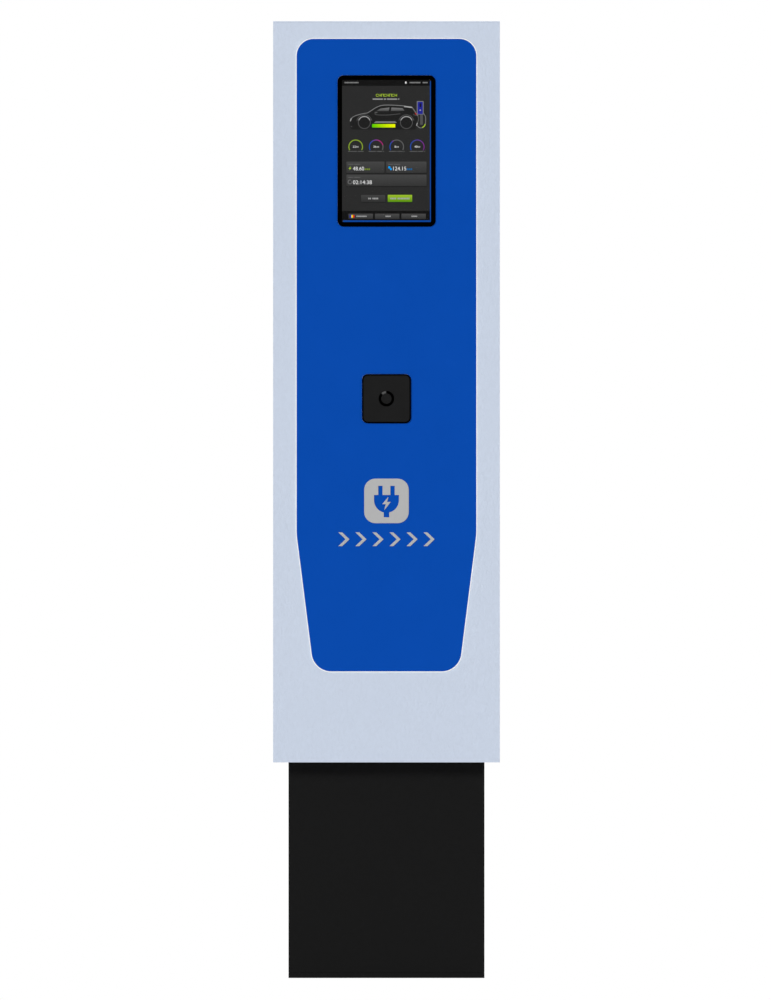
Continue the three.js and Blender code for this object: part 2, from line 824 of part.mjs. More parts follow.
// A plate with two long legs folded forwards to the back of the front wall.
function mountingPlate() {
  const front = frontFace + sheet + gap;
  const outside = block(around(0, plate.width), [front, plate.y + sheet], [plate.bottom, plate.top]);
  const hollow = block(
    around(0, plate.width - 2 * sheet),
    [front - 1, plate.y],
    [plate.bottom - 1, plate.top + 1],
  );
  return cut(outside, hollow);
}

// A top hat rail, drawn from its own middle, its back at y = 0.
function dinRail() {
  const { height, depth, thickness, base } = rail;
  const half = height / 2;
  const baseHalf = base / 2;
  const profile = polygon([
    [0, -baseHalf],
    [depth - thickness, -baseHalf],
    [depth - thickness, -half],
    [depth, -half],
    [depth, thickness - baseHalf],
    [thickness, thickness - baseHalf],
    [thickness, baseHalf - thickness],
    [depth, baseHalf - thickness],
    [depth, half],
    [depth - thickness, half],
    [depth - thickness, baseHalf],
    [0, baseHalf],
  ]);
  return facingSide(profile, -rail.length / 2, rail.length);
}

// A rail-mounted device: a body with a nose in front, notched at the back for the rail.
function railDevice({ width, height, bodyDepth, noseDepth, noseHeight }) {
  const notch = rail.height / 2 + gap;
  const notchDepth = rail.depth + gap;
  const profile = polygon([
    [0, -height / 2],
    [bodyDepth, -height / 2],
    [bodyDepth, -noseHeight / 2],
    [noseDepth, -noseHeight / 2],
    [noseDepth, noseHeight / 2],
    [bodyDepth, noseHeight / 2],
    [bodyDepth, height / 2],
    [0, height / 2],
    [0, notch],
    [notchDepth, notch],
    [notchDepth, -notch],
    [0, -notch],
  ]);
  return facingSide(profile, -width / 2, width);
}

const railBack = plate.y + sheet + gap;
const leverSlot = { height: 17, depth: 13, play: 1 };
const leverPivot = 5; // from a breaker's nose back to its lever's axis
const toggle = { drum: 6.5, length: 20, thickness: 5, inset: 3, angle: Math.PI / 6 };

const breaker = { width: 70, height: 86, bodyDepth: 48, noseDepth: 66, noseHeight: 46, lever: 36 };
const meter = { ...breaker, height: 90, noseHeight: 60 };
const contactor = { width: 54, height: 84, bodyDepth: 58, noseDepth: 80, noseHeight: 40 };
const devices = {
  power_supply: {
    x: -92, row: "top",
    size: { width: 100, height: 125, bodyDepth: 95, noseDepth: 100, noseHeight: 110 },
  },
  charge_controller: {
    x: 55, row: "top",
    size: { width: 170, height: 110, bodyDepth: 55, noseDepth: 62, noseHeight: 60 },
  },
  main_switch: { x: -108, row: "middle", size: breaker, hasLever: true },
  surge_protector: { x: -36, row: "middle", size: { ...breaker, noseDepth: 68 } },
  meter_left: { x: 36, row: "middle", size: meter },
  meter_right: { x: 108, row: "middle", size: meter },
  rcbo_left: { x: -108, row: "bottom", size: breaker, hasLever: true },
  rcbo_right: { x: -36, row: "bottom", size: breaker, hasLever: true },
  contactor_left: { x: 36, row: "bottom", size: contactor },
  contactor_right: { x: 108, row: "bottom", size: contactor },
};

function slotForLever({ noseDepth, lever }) {
  return block(
    around(0, lever + 2 * leverSlot.play),
    [noseDepth - leverSlot.depth, noseDepth + 1],
    around(0, leverSlot.height),
  );
}

// A toggle drawn round its own axis, switched on: its handle points up at 30 degrees.
function toggleLever({ lever }) {
  const drum = rod("x", toggle.drum, around(0, lever), {}, 16);
  const handle = block(
    around(0, lever - 2 * toggle.inset),
    [0, toggle.length],
    around(0, toggle.thickness),
  ).rotateX(toggle.angle);
  return join(drum, handle);
}

addPart(kiosk, "mounting_plate", mountingPlate(), "zinc");
for (const [row, z] of Object.entries(railHeights)) {
  addPart(kiosk, `din_rail_${row}`, dinRail(), "zinc", [0, railBack, z]);
}
for (const [name, { x, row, size, hasLever }] of Object.entries(devices)) {
  const z = railHeights[row];
  const body = railDevice(size);
  const back = railBack + gap / 2;
  addPart(kiosk, name, hasLever ? cut(body, slotForLever(size)) : body, "greyPlastic", [x, back, z]);
  if (hasLever) {
    const axisY = back + size.noseDepth - leverPivot;
    addPart(kiosk, `${name}_lever`, toggleLever(size), "lever", [x, axisY, z]);
  }
}

export default kiosk;
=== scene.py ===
# The looks of a car charging kiosk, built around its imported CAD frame. The kiosk stands on z = 0
# and its front faces -Y. Lengths are in millimetres, and MM turns them into metres. The camera and
# the floor are the exception: their lengths are in metres.
import json
import math
from itertools import product

import bmesh
import bpy
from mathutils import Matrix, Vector
from mathutils.geometry import tessellate_polygon


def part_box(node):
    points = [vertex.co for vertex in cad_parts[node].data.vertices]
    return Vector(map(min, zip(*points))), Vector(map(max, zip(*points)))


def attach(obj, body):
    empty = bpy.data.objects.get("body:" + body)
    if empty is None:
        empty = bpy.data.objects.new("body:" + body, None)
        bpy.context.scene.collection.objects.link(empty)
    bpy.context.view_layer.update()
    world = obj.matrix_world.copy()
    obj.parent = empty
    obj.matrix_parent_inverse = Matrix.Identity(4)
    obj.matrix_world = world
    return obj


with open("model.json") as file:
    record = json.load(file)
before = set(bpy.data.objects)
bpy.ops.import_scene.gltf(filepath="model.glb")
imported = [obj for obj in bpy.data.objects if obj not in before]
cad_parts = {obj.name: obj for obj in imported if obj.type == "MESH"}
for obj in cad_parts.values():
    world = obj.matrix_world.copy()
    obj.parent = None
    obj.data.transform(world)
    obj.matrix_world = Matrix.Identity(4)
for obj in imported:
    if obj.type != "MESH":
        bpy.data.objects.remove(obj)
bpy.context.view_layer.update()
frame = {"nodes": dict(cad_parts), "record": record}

MM = 0.001
RIGHT = Vector((1, 0, 0))
LEFT = Vector((-1, 0, 0))  # to the right as seen from behind
FRONT = Vector((0, -1, 0))
BACK = Vector((0, 1, 0))
UP = Vector((0, 0, 1))


def box_mm(node):
    """A CAD node's lowest corner, middle and highest corner, in millimetres."""
    low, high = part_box(node)
    return low / MM, (low + high) / 2 / MM, high / MM


def add_object(name, data):
    """Puts a new object in the scene."""
    added = bpy.data.objects.new(name, data)
    bpy.context.scene.collection.objects.link(added)
    return added


# ---------------- camera, light and world

VIEW_HEIGHT = 1.52595  # what the camera sees from top to bottom
VIEW_CENTRE = Vector((-0.0015, 0.0, 0.7294))
CAMERA_DISTANCE = 4
FARTHEST_SEEN = 100


def make_camera():
    data = bpy.data.cameras.new("camera")
    data.type = "ORTHO"
    data.ortho_scale = VIEW_HEIGHT
    data.clip_end = FARTHEST_SEEN
    camera = add_object("camera", data)
    camera.location = VIEW_CENTRE + FRONT * CAMERA_DISTANCE
    camera.rotation_euler = (math.radians(90), 0, 0)
    bpy.context.scene.camera = camera


def make_sun(name, azimuth, elevation, strength, softness):
    """A soft light from `azimuth` degrees round from the front, and `elevation` above the horizon."""
    data = bpy.data.lights.new(name, "SUN")
    data.energy = strength
    data.angle = math.radians(softness)
    turn = math.radians(azimuth)
    height = math.radians(elevation)
    level = RIGHT * math.sin(turn) + FRONT * math.cos(turn)
    towards = level * math.cos(height) + UP * math.sin(height)
    sun = add_object(name, data)
    sun.rotation_euler = towards.to_track_quat("Z", "Y").to_euler()
    return sun


def leave_unshadowed(sun, nodes):
    """Keeps these CAD nodes from casting this light's shadow."""
    spared = bpy.data.collections.new("spared")
    for node in nodes:
        spared.objects.link(frame["nodes"][node])
    for member in spared.collection_objects:
        member.light_linking.link_state = "EXCLUDE"
    sun.light_linking.blocker_collection = spared


def feed(tree, socket, value):
    """Links a node's output to a socket, or sets the socket to a plain value."""
    if isinstance(value, bpy.types.NodeSocket):
        tree.links.new(value, socket)
    else:
        socket.default_value = value


def add_node(tree, kind, inputs=None, **settings):
    """Adds a shader node with these settings, and feeds its inputs by name or by number."""
    node = tree.nodes.new("ShaderNode" + kind)
    for name, value in settings.items():
        setattr(node, name, value)
    for name, value in (inputs or {}).items():
        feed(tree, node.inputs[name], value)
    return node


def make_world():
    """White where the camera looks past the kiosk, and a dim studio in what the surfaces mirror."""
    world = bpy.data.worlds.new("studio")
    world.use_nodes = True
    tree = world.node_tree
    tree.nodes.clear()
    place = add_node(tree, "TexCoord")
    split = add_node(tree, "SeparateXYZ", {0: place.outputs["Generated"]})
    height = add_node(tree, "MapRange", {
        "Value": split.outputs["Z"], "From Min": -0.1, "From Max": 0.9,
    })
    shades = add_node(tree, "ValToRGB", {"Fac": height.outputs["Result"]})
    shades.color_ramp.elements[0].color = (0.073, 0.075, 0.078, 1)
    shades.color_ramp.elements[1].color = (0.35, 0.35, 0.35, 1)
    room = add_node(tree, "Background", {"Color": shades.outputs["Color"]})
    white = add_node(tree, "Background", {"Color": (1, 1, 1, 1)})
    seen = add_node(tree, "LightPath").outputs["Is Camera Ray"]
    mix = add_node(tree, "MixShader", {0: seen, 1: room.outputs[0], 2: white.outputs[0]})
    add_node(tree, "OutputWorld", {"Surface": mix.outputs[0]})
    bpy.context.scene.world = world


make_camera()
make_world()
key = make_sun("key", azimuth=-50, elevation=28, strength=2.61, softness=16)
leave_unshadowed(key, ["front_panel", "panel_trim"])  # thin plates: no hard line beside them
make_sun("fill", azimuth=68, elevation=28, strength=0.6, softness=50)
make_sun("back", azimuth=170, elevation=40, strength=0.88, softness=30)
bpy.context.scene.view_settings.view_transform = "Standard"


# ---------------- materials

# The sockets of a Mix node that hold colours.
COLOUR_A = 6
COLOUR_B = 7
COLOUR_RESULT = 2


def srgb(red, green, blue):
    """A screen colour, 0 to 255, as the linear colour that shaders use."""
    def linear(value):
        share = value / 255
        return share / 12.92 if share <= 0.04045 else ((share + 0.055) / 1.055) ** 2.4
    return (linear(red), linear(green), linear(blue), 1.0)


def grey(level):
    return srgb(level, level, level)


def shaded(colour, share):
    return tuple(min(value * share, 1.0) for value in colour[:3]) + (1.0,)


class Surface:
    """A material with a Principled shader, textured by noise in the kiosk's own coordinates."""

    def __init__(self, name, metallic=0.0, specular=0.5):
        self.material = bpy.data.materials.new(name)
        self.material.use_nodes = True
        self.tree = self.material.node_tree
        self.shader = self.tree.nodes["Principled BSDF"]
        self.set("Metallic", metallic)
        self.set("Specular IOR Level", specular)
        self.place = self.add("TexCoord").outputs["Object"]

    def set(self, name, value):
        feed(self.tree, self.shader.inputs[name], value)

    def add(self, kind, inputs=None, **settings):
        return add_node(self.tree, kind, inputs, **settings)

    def noise(self, size, detail=3.0, stretch=(1, 1, 1), distortion=0.0):
        """Noise between 0 and 1 whose features are about `size` across."""
        place = self.add("Mapping", {"Vector": self.place, "Scale": stretch}).outputs[0]
        return self.add("TexNoise", {
            "Vector": place, "Scale": 1 / (size * MM), "Detail": detail, "Distortion": distortion,
        }).outputs["Fac"]

    def between(self, value, low, high, start=0.3, end=0.7):
        """A number that goes from `low` to `high` as `value` goes from `start` to `end`."""
        return self.add("MapRange", {
            "Value": value, "From Min": start, "From Max": end, "To Min": low, "To Max": high,
        }).outputs["Result"]

    def mixed(self, factor, first, second):
        """A colour that goes from `first` to `second`, each a colour or another node's output."""
        inputs = {0: factor, COLOUR_A: first, COLOUR_B: second}
        return self.add("Mix", inputs, data_type="RGBA").outputs[COLOUR_RESULT]

    def mottled(self, value, colour, low, high):
        """The colour, from `low` to `high` times as bright as `value` goes up."""
        return self.mixed(self.between(value, 0, 1), shaded(colour, low), shaded(colour, high))

    def bump(self, height, strength, depth, under=None):
        """Raises the surface by `height` times `depth`. `under` is a coarser bump beneath it."""
        inputs = {"Height": height, "Strength": strength, "Distance": depth * MM}
        if under is not None:
            inputs["Normal"] = under
        normal = self.add("Bump", inputs).outputs["Normal"]
        self.set("Normal", normal)
        return normal

    def finish(self, colour, roughness):
        """Gives the shader its colour and roughness, and gives back the material."""
        self.set("Base Color", colour)
        self.set("Roughness", roughness)
        return self.material


def powder_coat(name, colour, specular, wrinkle, change):
    """Baked powder paint: leathery wrinkles a few millimetres long over a fine orange peel."""
    surface = Surface(name, specular=specular)
    wrinkles = surface.noise(4.4, detail=2, stretch=(1, 1, 0.6), distortion=0.8)
    peel = surface.noise(0.9, detail=2)
    clouds = surface.between(surface.noise(70, detail=2), 0, 0.5)
    tone = surface.mottled(wrinkles, colour, 1 - change, 1 + change)
    coarse = surface.bump(wrinkles, wrinkle, 1.0)
    surface.bump(peel, wrinkle * 0.6, 0.05, under=coarse)
    return surface.finish(
        surface.mixed(clouds, tone, shaded(colour, 0.985)),
        surface.between(peel, 0.44, 0.56),
    )


def moulded_plastic(name, colour, specular=0.3, roughness=0.45):
    """Moulded plastic with a fine spark-eroded grain."""
    surface = Surface(name, specular=specular)
    spark = surface.noise(0.7)
    surface.bump(spark, 0.25, 0.04)
    return surface.finish(
        surface.mottled(surface.noise(30, detail=2), colour, 0.94, 1.06),
        surface.between(spark, roughness - 0.07, roughness + 0.07),
    )


def satin_sheet(name, colour, specular, roughness):
    """A smooth printed sheet: almost no relief, and a faint cloudiness in its sheen."""
    surface = Surface(name, specular=specular)
    cloud = surface.noise(60)
    surface.bump(surface.noise(0.5, detail=2), 0.08, 0.02)
    return surface.finish(
        surface.mottled(cloud, colour, 0.985, 1.015),
        surface.between(cloud, roughness - 0.03, roughness + 0.03),
    )


def worked_metal(name, colour, roughness, bump=0.15, stretch=(1, 1, 1)):
    """Bare metal. A stretch below 1 along an axis draws the grain out that way, as brushing does."""
    surface = Surface(name, metallic=1.0)
    grains = surface.noise(0.5, detail=4, stretch=stretch)
    surface.bump(grains, bump, 0.02)
    return surface.finish(
        surface.mottled(surface.noise(18), colour, 0.9, 1.06),
        surface.between(grains, roughness - 0.08, roughness + 0.1),
    )


def zinc_plate(name):
    """Galvanised sheet, with the patches of its zinc crystals."""
    surface = Surface(name, metallic=0.9)
    crystal = 9 * MM
    cells = surface.add("TexVoronoi", {"Vector": surface.place, "Scale": 1 / crystal})
    flake = surface.add("SeparateColor", {0: cells.outputs["Color"]}).outputs[0]
    surface.bump(surface.noise(1.5), 0.1, 0.03)
    return surface.finish(
        surface.mixed(flake, srgb(150, 155, 160), srgb(188, 192, 196)),
        surface.between(flake, 0.34, 0.5, 0, 1),
    )


def lit_picture(name, colour, second=None, along=None, reach=None):
    """A lit area of the display, from `colour` to `second` along one axis, with its pixel grain."""
    surface = Surface(name, specular=0.0)
    dimmed = 0.9
    tone = colour
    darker = shaded(colour, dimmed)
    if second:
        split = surface.add("SeparateXYZ", {0: surface.place})
        share = surface.between(split.outputs[along], 0, 1, *reach)
        tone = surface.mixed(share, colour, second)
        darker = surface.mixed(share, darker, shaded(second, dimmed))
    grain = surface.between(surface.noise(0.6, detail=1), 0, 1)
    surface.set("Emission Color", surface.mixed(grain, darker, tone))
    surface.set("Emission Strength", 1.0)
    return surface.finish(surface.mixed(grain, (0, 0, 0, 1), (0.004, 0.004, 0.004, 1)), 0.6)


def cover_glass(name):
    """Anti-reflection coated cover glass: clear, with barely any mirror image."""
    surface = Surface(name)
    smear = surface.noise(25)
    surface.set("Transmission Weight", 1.0)
    surface.set("IOR", 1.12)
    return surface.finish(
        surface.mixed(smear, (0.97, 0.98, 0.98, 1), (1, 1, 1, 1)),
        surface.between(smear, 0.0, 0.03),
    )


def ring_with_painted_light(name, painted_light_from, painted_light_to):
    """The reader's ring: dark, with one pale arc of painted light between two angles, in degrees from
    the right.
    """
    surface = Surface(name, specular=0.01)
    low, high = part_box("reader_housing")
    spoke = surface.add("VectorMath", {0: surface.place, 1: (low + high) / 2}, operation="SUBTRACT")
    split = surface.add("SeparateXYZ", {0: spoke.outputs[0]})
    angle = surface.add("Math", {
        0: split.outputs["Z"], 1: split.outputs["X"],
    }, operation="ARCTAN2").outputs[0]
    edge = math.radians(3)
    start = math.radians(painted_light_from)
    end = math.radians(painted_light_to)
    rise = surface.between(angle, 0, 1, start - edge, start + edge)
    fall = surface.between(angle, 1, 0, end - edge, end + edge)
    # lit is the mask of the arc of painted light, a pale grey in the ring's colour.
    lit = surface.add("Math", {0: rise, 1: fall}, operation="MULTIPLY").outputs[0]
    grain = surface.noise(0.6)
    dark = surface.mixed(grain, (0, 0, 0, 1), (0.0004, 0.0004, 0.0004, 1))
    return surface.finish(
        surface.mixed(lit, dark, grey(85)),
        surface.between(grain, 0.3, 0.4),
    )


def foam_rubber(name):
    surface = Surface(name, specular=0.15)
    pores = surface.noise(0.8, detail=5)
    surface.bump(pores, 0.5, 0.15)
    return surface.finish(
        surface.mixed(pores, grey(14), grey(40)),
        surface.between(pores, 0.85, 0.98),
    )


def circuit_board(name):
    """Green solder mask with fine tracks under it."""
    surface = Surface(name, specular=0.4)
    upright = surface.add("Mapping", {
        "Vector": surface.place, "Rotation": (math.radians(90), 0, 0),
    })
    cell = 9 * MM
    tracks = surface.add("TexBrick", {
        "Vector": upright.outputs[0], "Scale": 1 / cell, "Mortar Size": 0.03,
        "Color1": srgb(24, 92, 50), "Color2": srgb(18, 78, 42), "Mortar": srgb(52, 126, 76),
    })
    return surface.finish(tracks.outputs["Color"], surface.between(surface.noise(2), 0.25, 0.4))


# What each material's function is given, after the material's name.
MATERIALS = {
    powder_coat: {
        "cabinet_paint": (srgb(200, 210, 226), 0.3, 0.5, 0.026),
        "plinth_paint": (grey(22), 0.06, 0.12, 0.05),
    },
    zinc_plate: {"zinc_steel": ()},
    foam_rubber: {"seal_rubber": ()},
    cover_glass: {"display_glass": ()},
    ring_with_painted_light: {"indicator_ring": (94, 132)},
    circuit_board: {"circuit_board": ()},
    lit_picture: {"lamp_green": (srgb(60, 230, 90),), "lamp_red": (srgb(235, 40, 30),)},
    worked_metal: {
        "hinge_steel": (srgb(192, 195, 198), 0.32, 0.15, (1, 1, 0.1)),
        "lock_metal": (srgb(205, 207, 210), 0.2, 0.05),
        "computer_case": (srgb(120, 123, 126), 0.5),
        "supply_case": (srgb(170, 173, 176), 0.38, 0.15, (0.08, 1, 1)),
        "steel_screw": (srgb(186, 189, 192), 0.25, 0.05),
        "black_screw": (srgb(52, 53, 55), 0.35, 0.05),
        "brass": (srgb(214, 180, 104), 0.28, 0.05),
        "copper": (srgb(206, 134, 94), 0.3),
    },
    satin_sheet: {
        "panel_blue": (srgb(4, 73, 171), 0.05, 0.38),
        "trim_pale": (srgb(248, 247, 244), 0.3, 0.45),
        "bezel_black": ((0.0001, 0.0001, 0.0001, 1), 0.01, 0.3),
        "display_picture": (srgb(8, 8, 9), 0.1, 0.4),
        "mark_grey": (grey(178), 0.3, 0.4),
        "label_white": (srgb(232, 233, 231), 0.3, 0.5),
        "label_blue": (srgb(44, 92, 160), 0.3, 0.5),
        "meter_screen": (srgb(150, 164, 140), 0.4, 0.2),
    },
    moulded_plastic: {
        "gland_plastic": (srgb(30, 30, 31),),
        "reader_black": (grey(27), 0.06, 0.5),
        "socket_plastic": (srgb(28, 28, 29), 0.35, 0.42),
        "contact_plastic": (srgb(20, 20, 21), 0.35, 0.5),
        "actuator_plastic": (srgb(44, 45, 47), 0.35, 0.5),
        "device_plastic": (srgb(208, 210, 208), 0.35, 0.45),
        "lever_plastic": (srgb(24, 24, 26), 0.45, 0.3),
        # recess_dark: a near-black used as painted shade in holes, slots and recesses, and as the
        # colour of dark joints, digits and posts.
        "recess_dark": (srgb(14, 14, 15), 0.1, 0.8),
        "duct_grey": (srgb(140, 147, 153), 0.3, 0.55),
        "button_orange": (srgb(232, 118, 28), 0.4, 0.4),
        "connector_green": (srgb(46, 138, 82), 0.35, 0.45),
        "pocket_grey": (srgb(176, 180, 183), 0.3, 0.5),
        "wire_brown": (srgb(96, 56, 32), 0.4, 0.4),
        "wire_black": (srgb(24, 24, 25), 0.4, 0.4),
        "wire_grey": (srgb(132, 134, 136), 0.4, 0.4),
        "wire_blue": (srgb(30, 74, 168), 0.4, 0.4),
        "wire_green": (srgb(96, 150, 40), 0.4, 0.4),
        "wire_white": (srgb(214, 214, 210), 0.4, 0.4),
    },
}
finishes = {
    name: make(name, *values)
    for make, members in MATERIALS.items()
    for name, values in members.items()
}


# ---------------- CAD nodes

# How far the edges of each slot's nodes are rounded. Other slots use the usual one.
USUAL_EDGE = 0.4
EDGES = {
    "cabinet_paint": 0.2,
    "plinth_paint": 0.25,
    "panel_blue": 0.35,
    "trim_pale": 0.3,
    "display_glass": 0.15,
    "display_picture": 0.1,
    "indicator_ring": 0.2,
    "reader_black": 0.8,
    "bezel_black": 0.7,
    "socket_plastic": 0.7,
    "device_plastic": 0.7,
    "actuator_plastic": 1.0,
}


def soften(piece, width):
    """Joins a mesh's facets, then rounds its edges and shades it smooth, without changing the mesh."""
    weld = piece.modifiers.new("weld", "WELD")
    weld.merge_threshold = 0.02 * MM
    flat = piece.modifiers.new("flat_faces", "DECIMATE")
    flat.decimate_type = "DISSOLVE"
    flat.angle_limit = math.radians(0.5)
    bevel = piece.modifiers.new("edges", "BEVEL")
    bevel.width = width * MM
    bevel.segments = 2
    bevel.limit_method = "ANGLE"
    bevel.angle_limit = math.radians(30)
    piece.modifiers.new("normals", "WEIGHTED_NORMAL")
    for polygon in piece.data.polygons:
        polygon.use_smooth = True


for subpart in frame["record"]["subparts"]:
    cad_node = frame["nodes"][subpart["node"]]
    cad_slot = subpart["material_slot"]
    cad_node.data.materials.clear()
    cad_node.data.materials.append(finishes[cad_slot])
    soften(cad_node, EDGES.get(cad_slot, USUAL_EDGE))


# ---------------- flat outlines
#
# Their points are (u, v): u to the right, and v down.

def rectangle(left, top, right, bottom, radius=0.0, steps=5):
    """A rectangle's outline. A radius rounds its corners."""
    if not radius:
        return [(left, top), (right, top), (right, bottom), (left, bottom)]
    points = []
    for u, v, start in (
        (right - radius, top + radius, 90),
        (right - radius, bottom - radius, 0),
        (left + radius, bottom - radius, -90),
        (left + radius, top + radius, -180),
    ):
        points += arc(u, v, radius, start, start - 90, steps)
    return points


def arc(u, v, radius, start, end, steps):
    """Angles are in degrees from the right, anticlockwise as seen."""
    points = []
    for i in range(steps + 1):
        angle = math.radians(start + (end - start) * i / steps)
        points.append((u + radius * math.cos(angle), v - radius * math.sin(angle)))
    return points


def circle(u, v, radius, steps):
    return arc(u, v, radius, 0, 360 - 360 / steps, steps - 1)


def smooth_path(points, steps=6):
    """A curve through flat points or through points in space."""
    ends = [points[0], *points, points[-1]]
    path = []
    for before, here, after, beyond in zip(ends, ends[1:], ends[2:], ends[3:]):
        for i in range(steps):
            t = i / steps
            path.append(tuple(
                0.5 * (
                    2 * b
                    + (c - a) * t
                    + (2 * a - 5 * b + 4 * c - d) * t ** 2
                    + (3 * b - a - 3 * c + d) * t ** 3
                )
                for a, b, c, d in zip(before, here, after, beyond)
            ))
    path.append(tuple(points[-1]))
    return path


# ---------------- mesh helpers
#
# `place` turns u, v and a lift off the surface into a place in space.

def face(corner, right, out):
    """The place function of an upright face: u goes along `right`, v down and the lift along `out`."""
    def place(u, v, lift):
        return (corner + right * u - UP * v + out * lift) * MM
    return place


def front_face(x, y, z):
    return face(Vector((x, y, z)), RIGHT, FRONT)


def rear_face(x, y, z):
    return face(Vector((x, y, z)), LEFT, BACK)


def add_slab(mesh, outlines, place, low, high):
    """A closed slab between two lifts: the first outline is its edge, and the others are holes."""
    flat = [[Vector((u, v, 0)) for u, v in outline] for outline in outlines]
    backs = [mesh.verts.new(place(u, v, low)) for outline in outlines for u, v in outline]
    fronts = [mesh.verts.new(place(u, v, high)) for outline in outlines for u, v in outline]
    for corners in tessellate_polygon(flat):
        mesh.faces.new([fronts[i] for i in corners])
        mesh.faces.new([backs[i] for i in reversed(corners)])
    first = 0
    for outline in outlines:
        count = len(outline)
        for i in range(count):
            here = first + i
            after = first + (i + 1) % count
            mesh.faces.new((backs[here], backs[after], fronts[after], fronts[here]))
        first += count


def add_band(mesh, inner, outer, place, low, high, closed=True):
    """A closed slab between two edges with as many points each, such as a ring or a stroke."""
    rows = [
        [mesh.verts.new(place(u, v, lift)) for u, v in edge]
        for edge, lift in ((inner, low), (outer, low), (outer, high), (inner, high))
    ]
    count = len(inner)
    for i in range(count if closed else count - 1):
        j = (i + 1) % count
        for first, second in zip(rows, rows[1:] + rows[:1]):
            mesh.faces.new((first[i], first[j], second[j], second[i]))
    if not closed:
        mesh.faces.new([row[0] for row in rows])
        mesh.faces.new([row[-1] for row in reversed(rows)])


def add_stroke(mesh, path, width, place, low, high):
    """A line of one width along a flat path."""
    left = []
    right = []
    for i, (u, v) in enumerate(path):
        ahead = path[min(i + 1, len(path) - 1)]
        behind = path[max(i - 1, 0)]
        along = Vector((ahead[0] - behind[0], ahead[1] - behind[1])).normalized()
        left.append((u - along.y * width / 2, v + along.x * width / 2))
        right.append((u + along.y * width / 2, v - along.x * width / 2))
    add_band(mesh, left, right, place, low, high, closed=False)


def add_ring(mesh, u, v, inner, outer, place, low, high, steps=48):
    add_band(mesh, circle(u, v, inner, steps), circle(u, v, outer, steps), place, low, high)


def add_disc(mesh, u, v, radius, place, low, high):
    add_slab(mesh, [circle(u, v, radius, 24)], place, low, high)


def add_figures(mesh, text, left, top, right, height, place, low, high):
    """Figures of one height, in Blender's own plain typeface, stretched to reach from left to right."""
    curve = bpy.data.curves.new("figures", "FONT")
    curve.body = text
    curve.extrude = 0.5
    curve.resolution_u = 3
    letters = add_object("figures", curve)
    evaluated = letters.evaluated_get(bpy.context.evaluated_depsgraph_get())
    outline = bmesh.new()
    outline.from_mesh(evaluated.to_mesh())
    bmesh.ops.remove_doubles(outline, verts=outline.verts, dist=0.0001)
    lowest = [min(vert.co[i] for vert in outline.verts) for i in range(3)]
    size = [max(vert.co[i] for vert in outline.verts) - lowest[i] for i in range(3)]
    for vert in outline.verts:
        across, up, out = ((vert.co[i] - lowest[i]) / size[i] for i in range(3))
        u = left + across * (right - left)
        v = top + (1 - up) * height
        vert.co = place(u, v, low + out * (high - low))
    placed = bpy.data.meshes.new("figures")
    outline.to_mesh(placed)
    outline.free()
    mesh.from_mesh(placed)
    bpy.data.meshes.remove(placed)
    bpy.data.objects.remove(letters)
    bpy.data.curves.remove(curve)


def add_tube(mesh, rings):
    """Joins rings of as many points each, and closes both ends."""
    rings = [[mesh.verts.new(point) for point in ring] for ring in rings]
    count = len(rings[0])
    for ring, after in zip(rings, rings[1:]):
        for i in range(count):
            j = (i + 1) % count
            mesh.faces.new((ring[i], ring[j], after[j], after[i]))
    mesh.faces.new(list(reversed(rings[0])))
    mesh.faces.new(rings[-1])


def add_box(mesh, low, high):
    """A box between two corners."""
    corners = [mesh.verts.new(Vector(corner) * MM) for corner in product(*zip(low, high))]
    for sides in (
        (0, 1, 3, 2), (4, 6, 7, 5), (0, 4, 5, 1), (2, 3, 7, 6), (0, 2, 6, 4), (1, 5, 7, 3),
    ):
        mesh.faces.new([corners[i] for i in sides])


def add_turned(mesh, profile, centre, out, steps=20):
    """A turned shape along `out`. The profile holds (radius, lift) from its back to its front,
    and a third value, "hex", makes that ring a hexagon."""
    across = out.orthogonal().normalized()
    upward = out.cross(across)
    side = math.radians(60)
    rings = []
    for radius, lift, *shape in profile:
        ring = []
        for i in range(steps):
            angle = 2 * math.pi * i / steps
            reach = radius
            if shape:
                reach = radius * math.cos(side / 2) / math.cos(angle % side - side / 2)
            spoke = across * math.cos(angle) + upward * math.sin(angle)
            ring.append((centre + spoke * reach + out * lift) * MM)
        rings.append(ring)
    add_tube(mesh, rings)


def add_socket_screw(mesh, centre, out, radius):
    """A button head screw with a hexagon socket."""
    height = radius * 0.55
    hexagon = radius * 0.5
    add_turned(mesh, [
        (radius, 0),
        (radius, height * 0.25),
        (radius * 0.9, height * 0.7),
        (radius * 0.68, height),
        (hexagon, height, "hex"),
        (hexagon, height * 0.35, "hex"),
    ], centre, out, steps=24)


def add_cable(mesh, points, radius, sides=8):
    """A round cable through points in space."""
    path = [Vector(point) for point in smooth_path(points, 5)]
    across = (path[1] - path[0]).normalized().orthogonal()
    angles = [2 * math.pi * k / sides for k in range(sides)]
    rings = []
    for i, middle in enumerate(path):
        along = (path[min(i + 1, len(path) - 1)] - path[max(i - 1, 0)]).normalized()
        across = (across - along * across.dot(along)).normalized()
        upward = along.cross(across)
        rings.append([
            (middle + (across * math.cos(angle) + upward * math.sin(angle)) * radius) * MM
            for angle in angles
        ])
    add_tube(mesh, rings)


def make_object(name, mesh, material):
    """Turns a bmesh into an object."""
    data = bpy.data.meshes.new(name)
    mesh.to_mesh(data)
    mesh.free()
    data.materials.append(material)
    return add_object(name, data)


def finish_piece(name, mesh, material, slot, body="kiosk", edge=0.0):
    """Turns a bmesh into an object that rides on a CAD body, with its edges rounded when `edge` is
    given.
    """
    bmesh.ops.recalc_face_normals(mesh, faces=mesh.faces)
    piece = make_object(name, mesh, material)
    if edge:
        soften(piece, edge)
    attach(piece, body)


# ---------------- floor

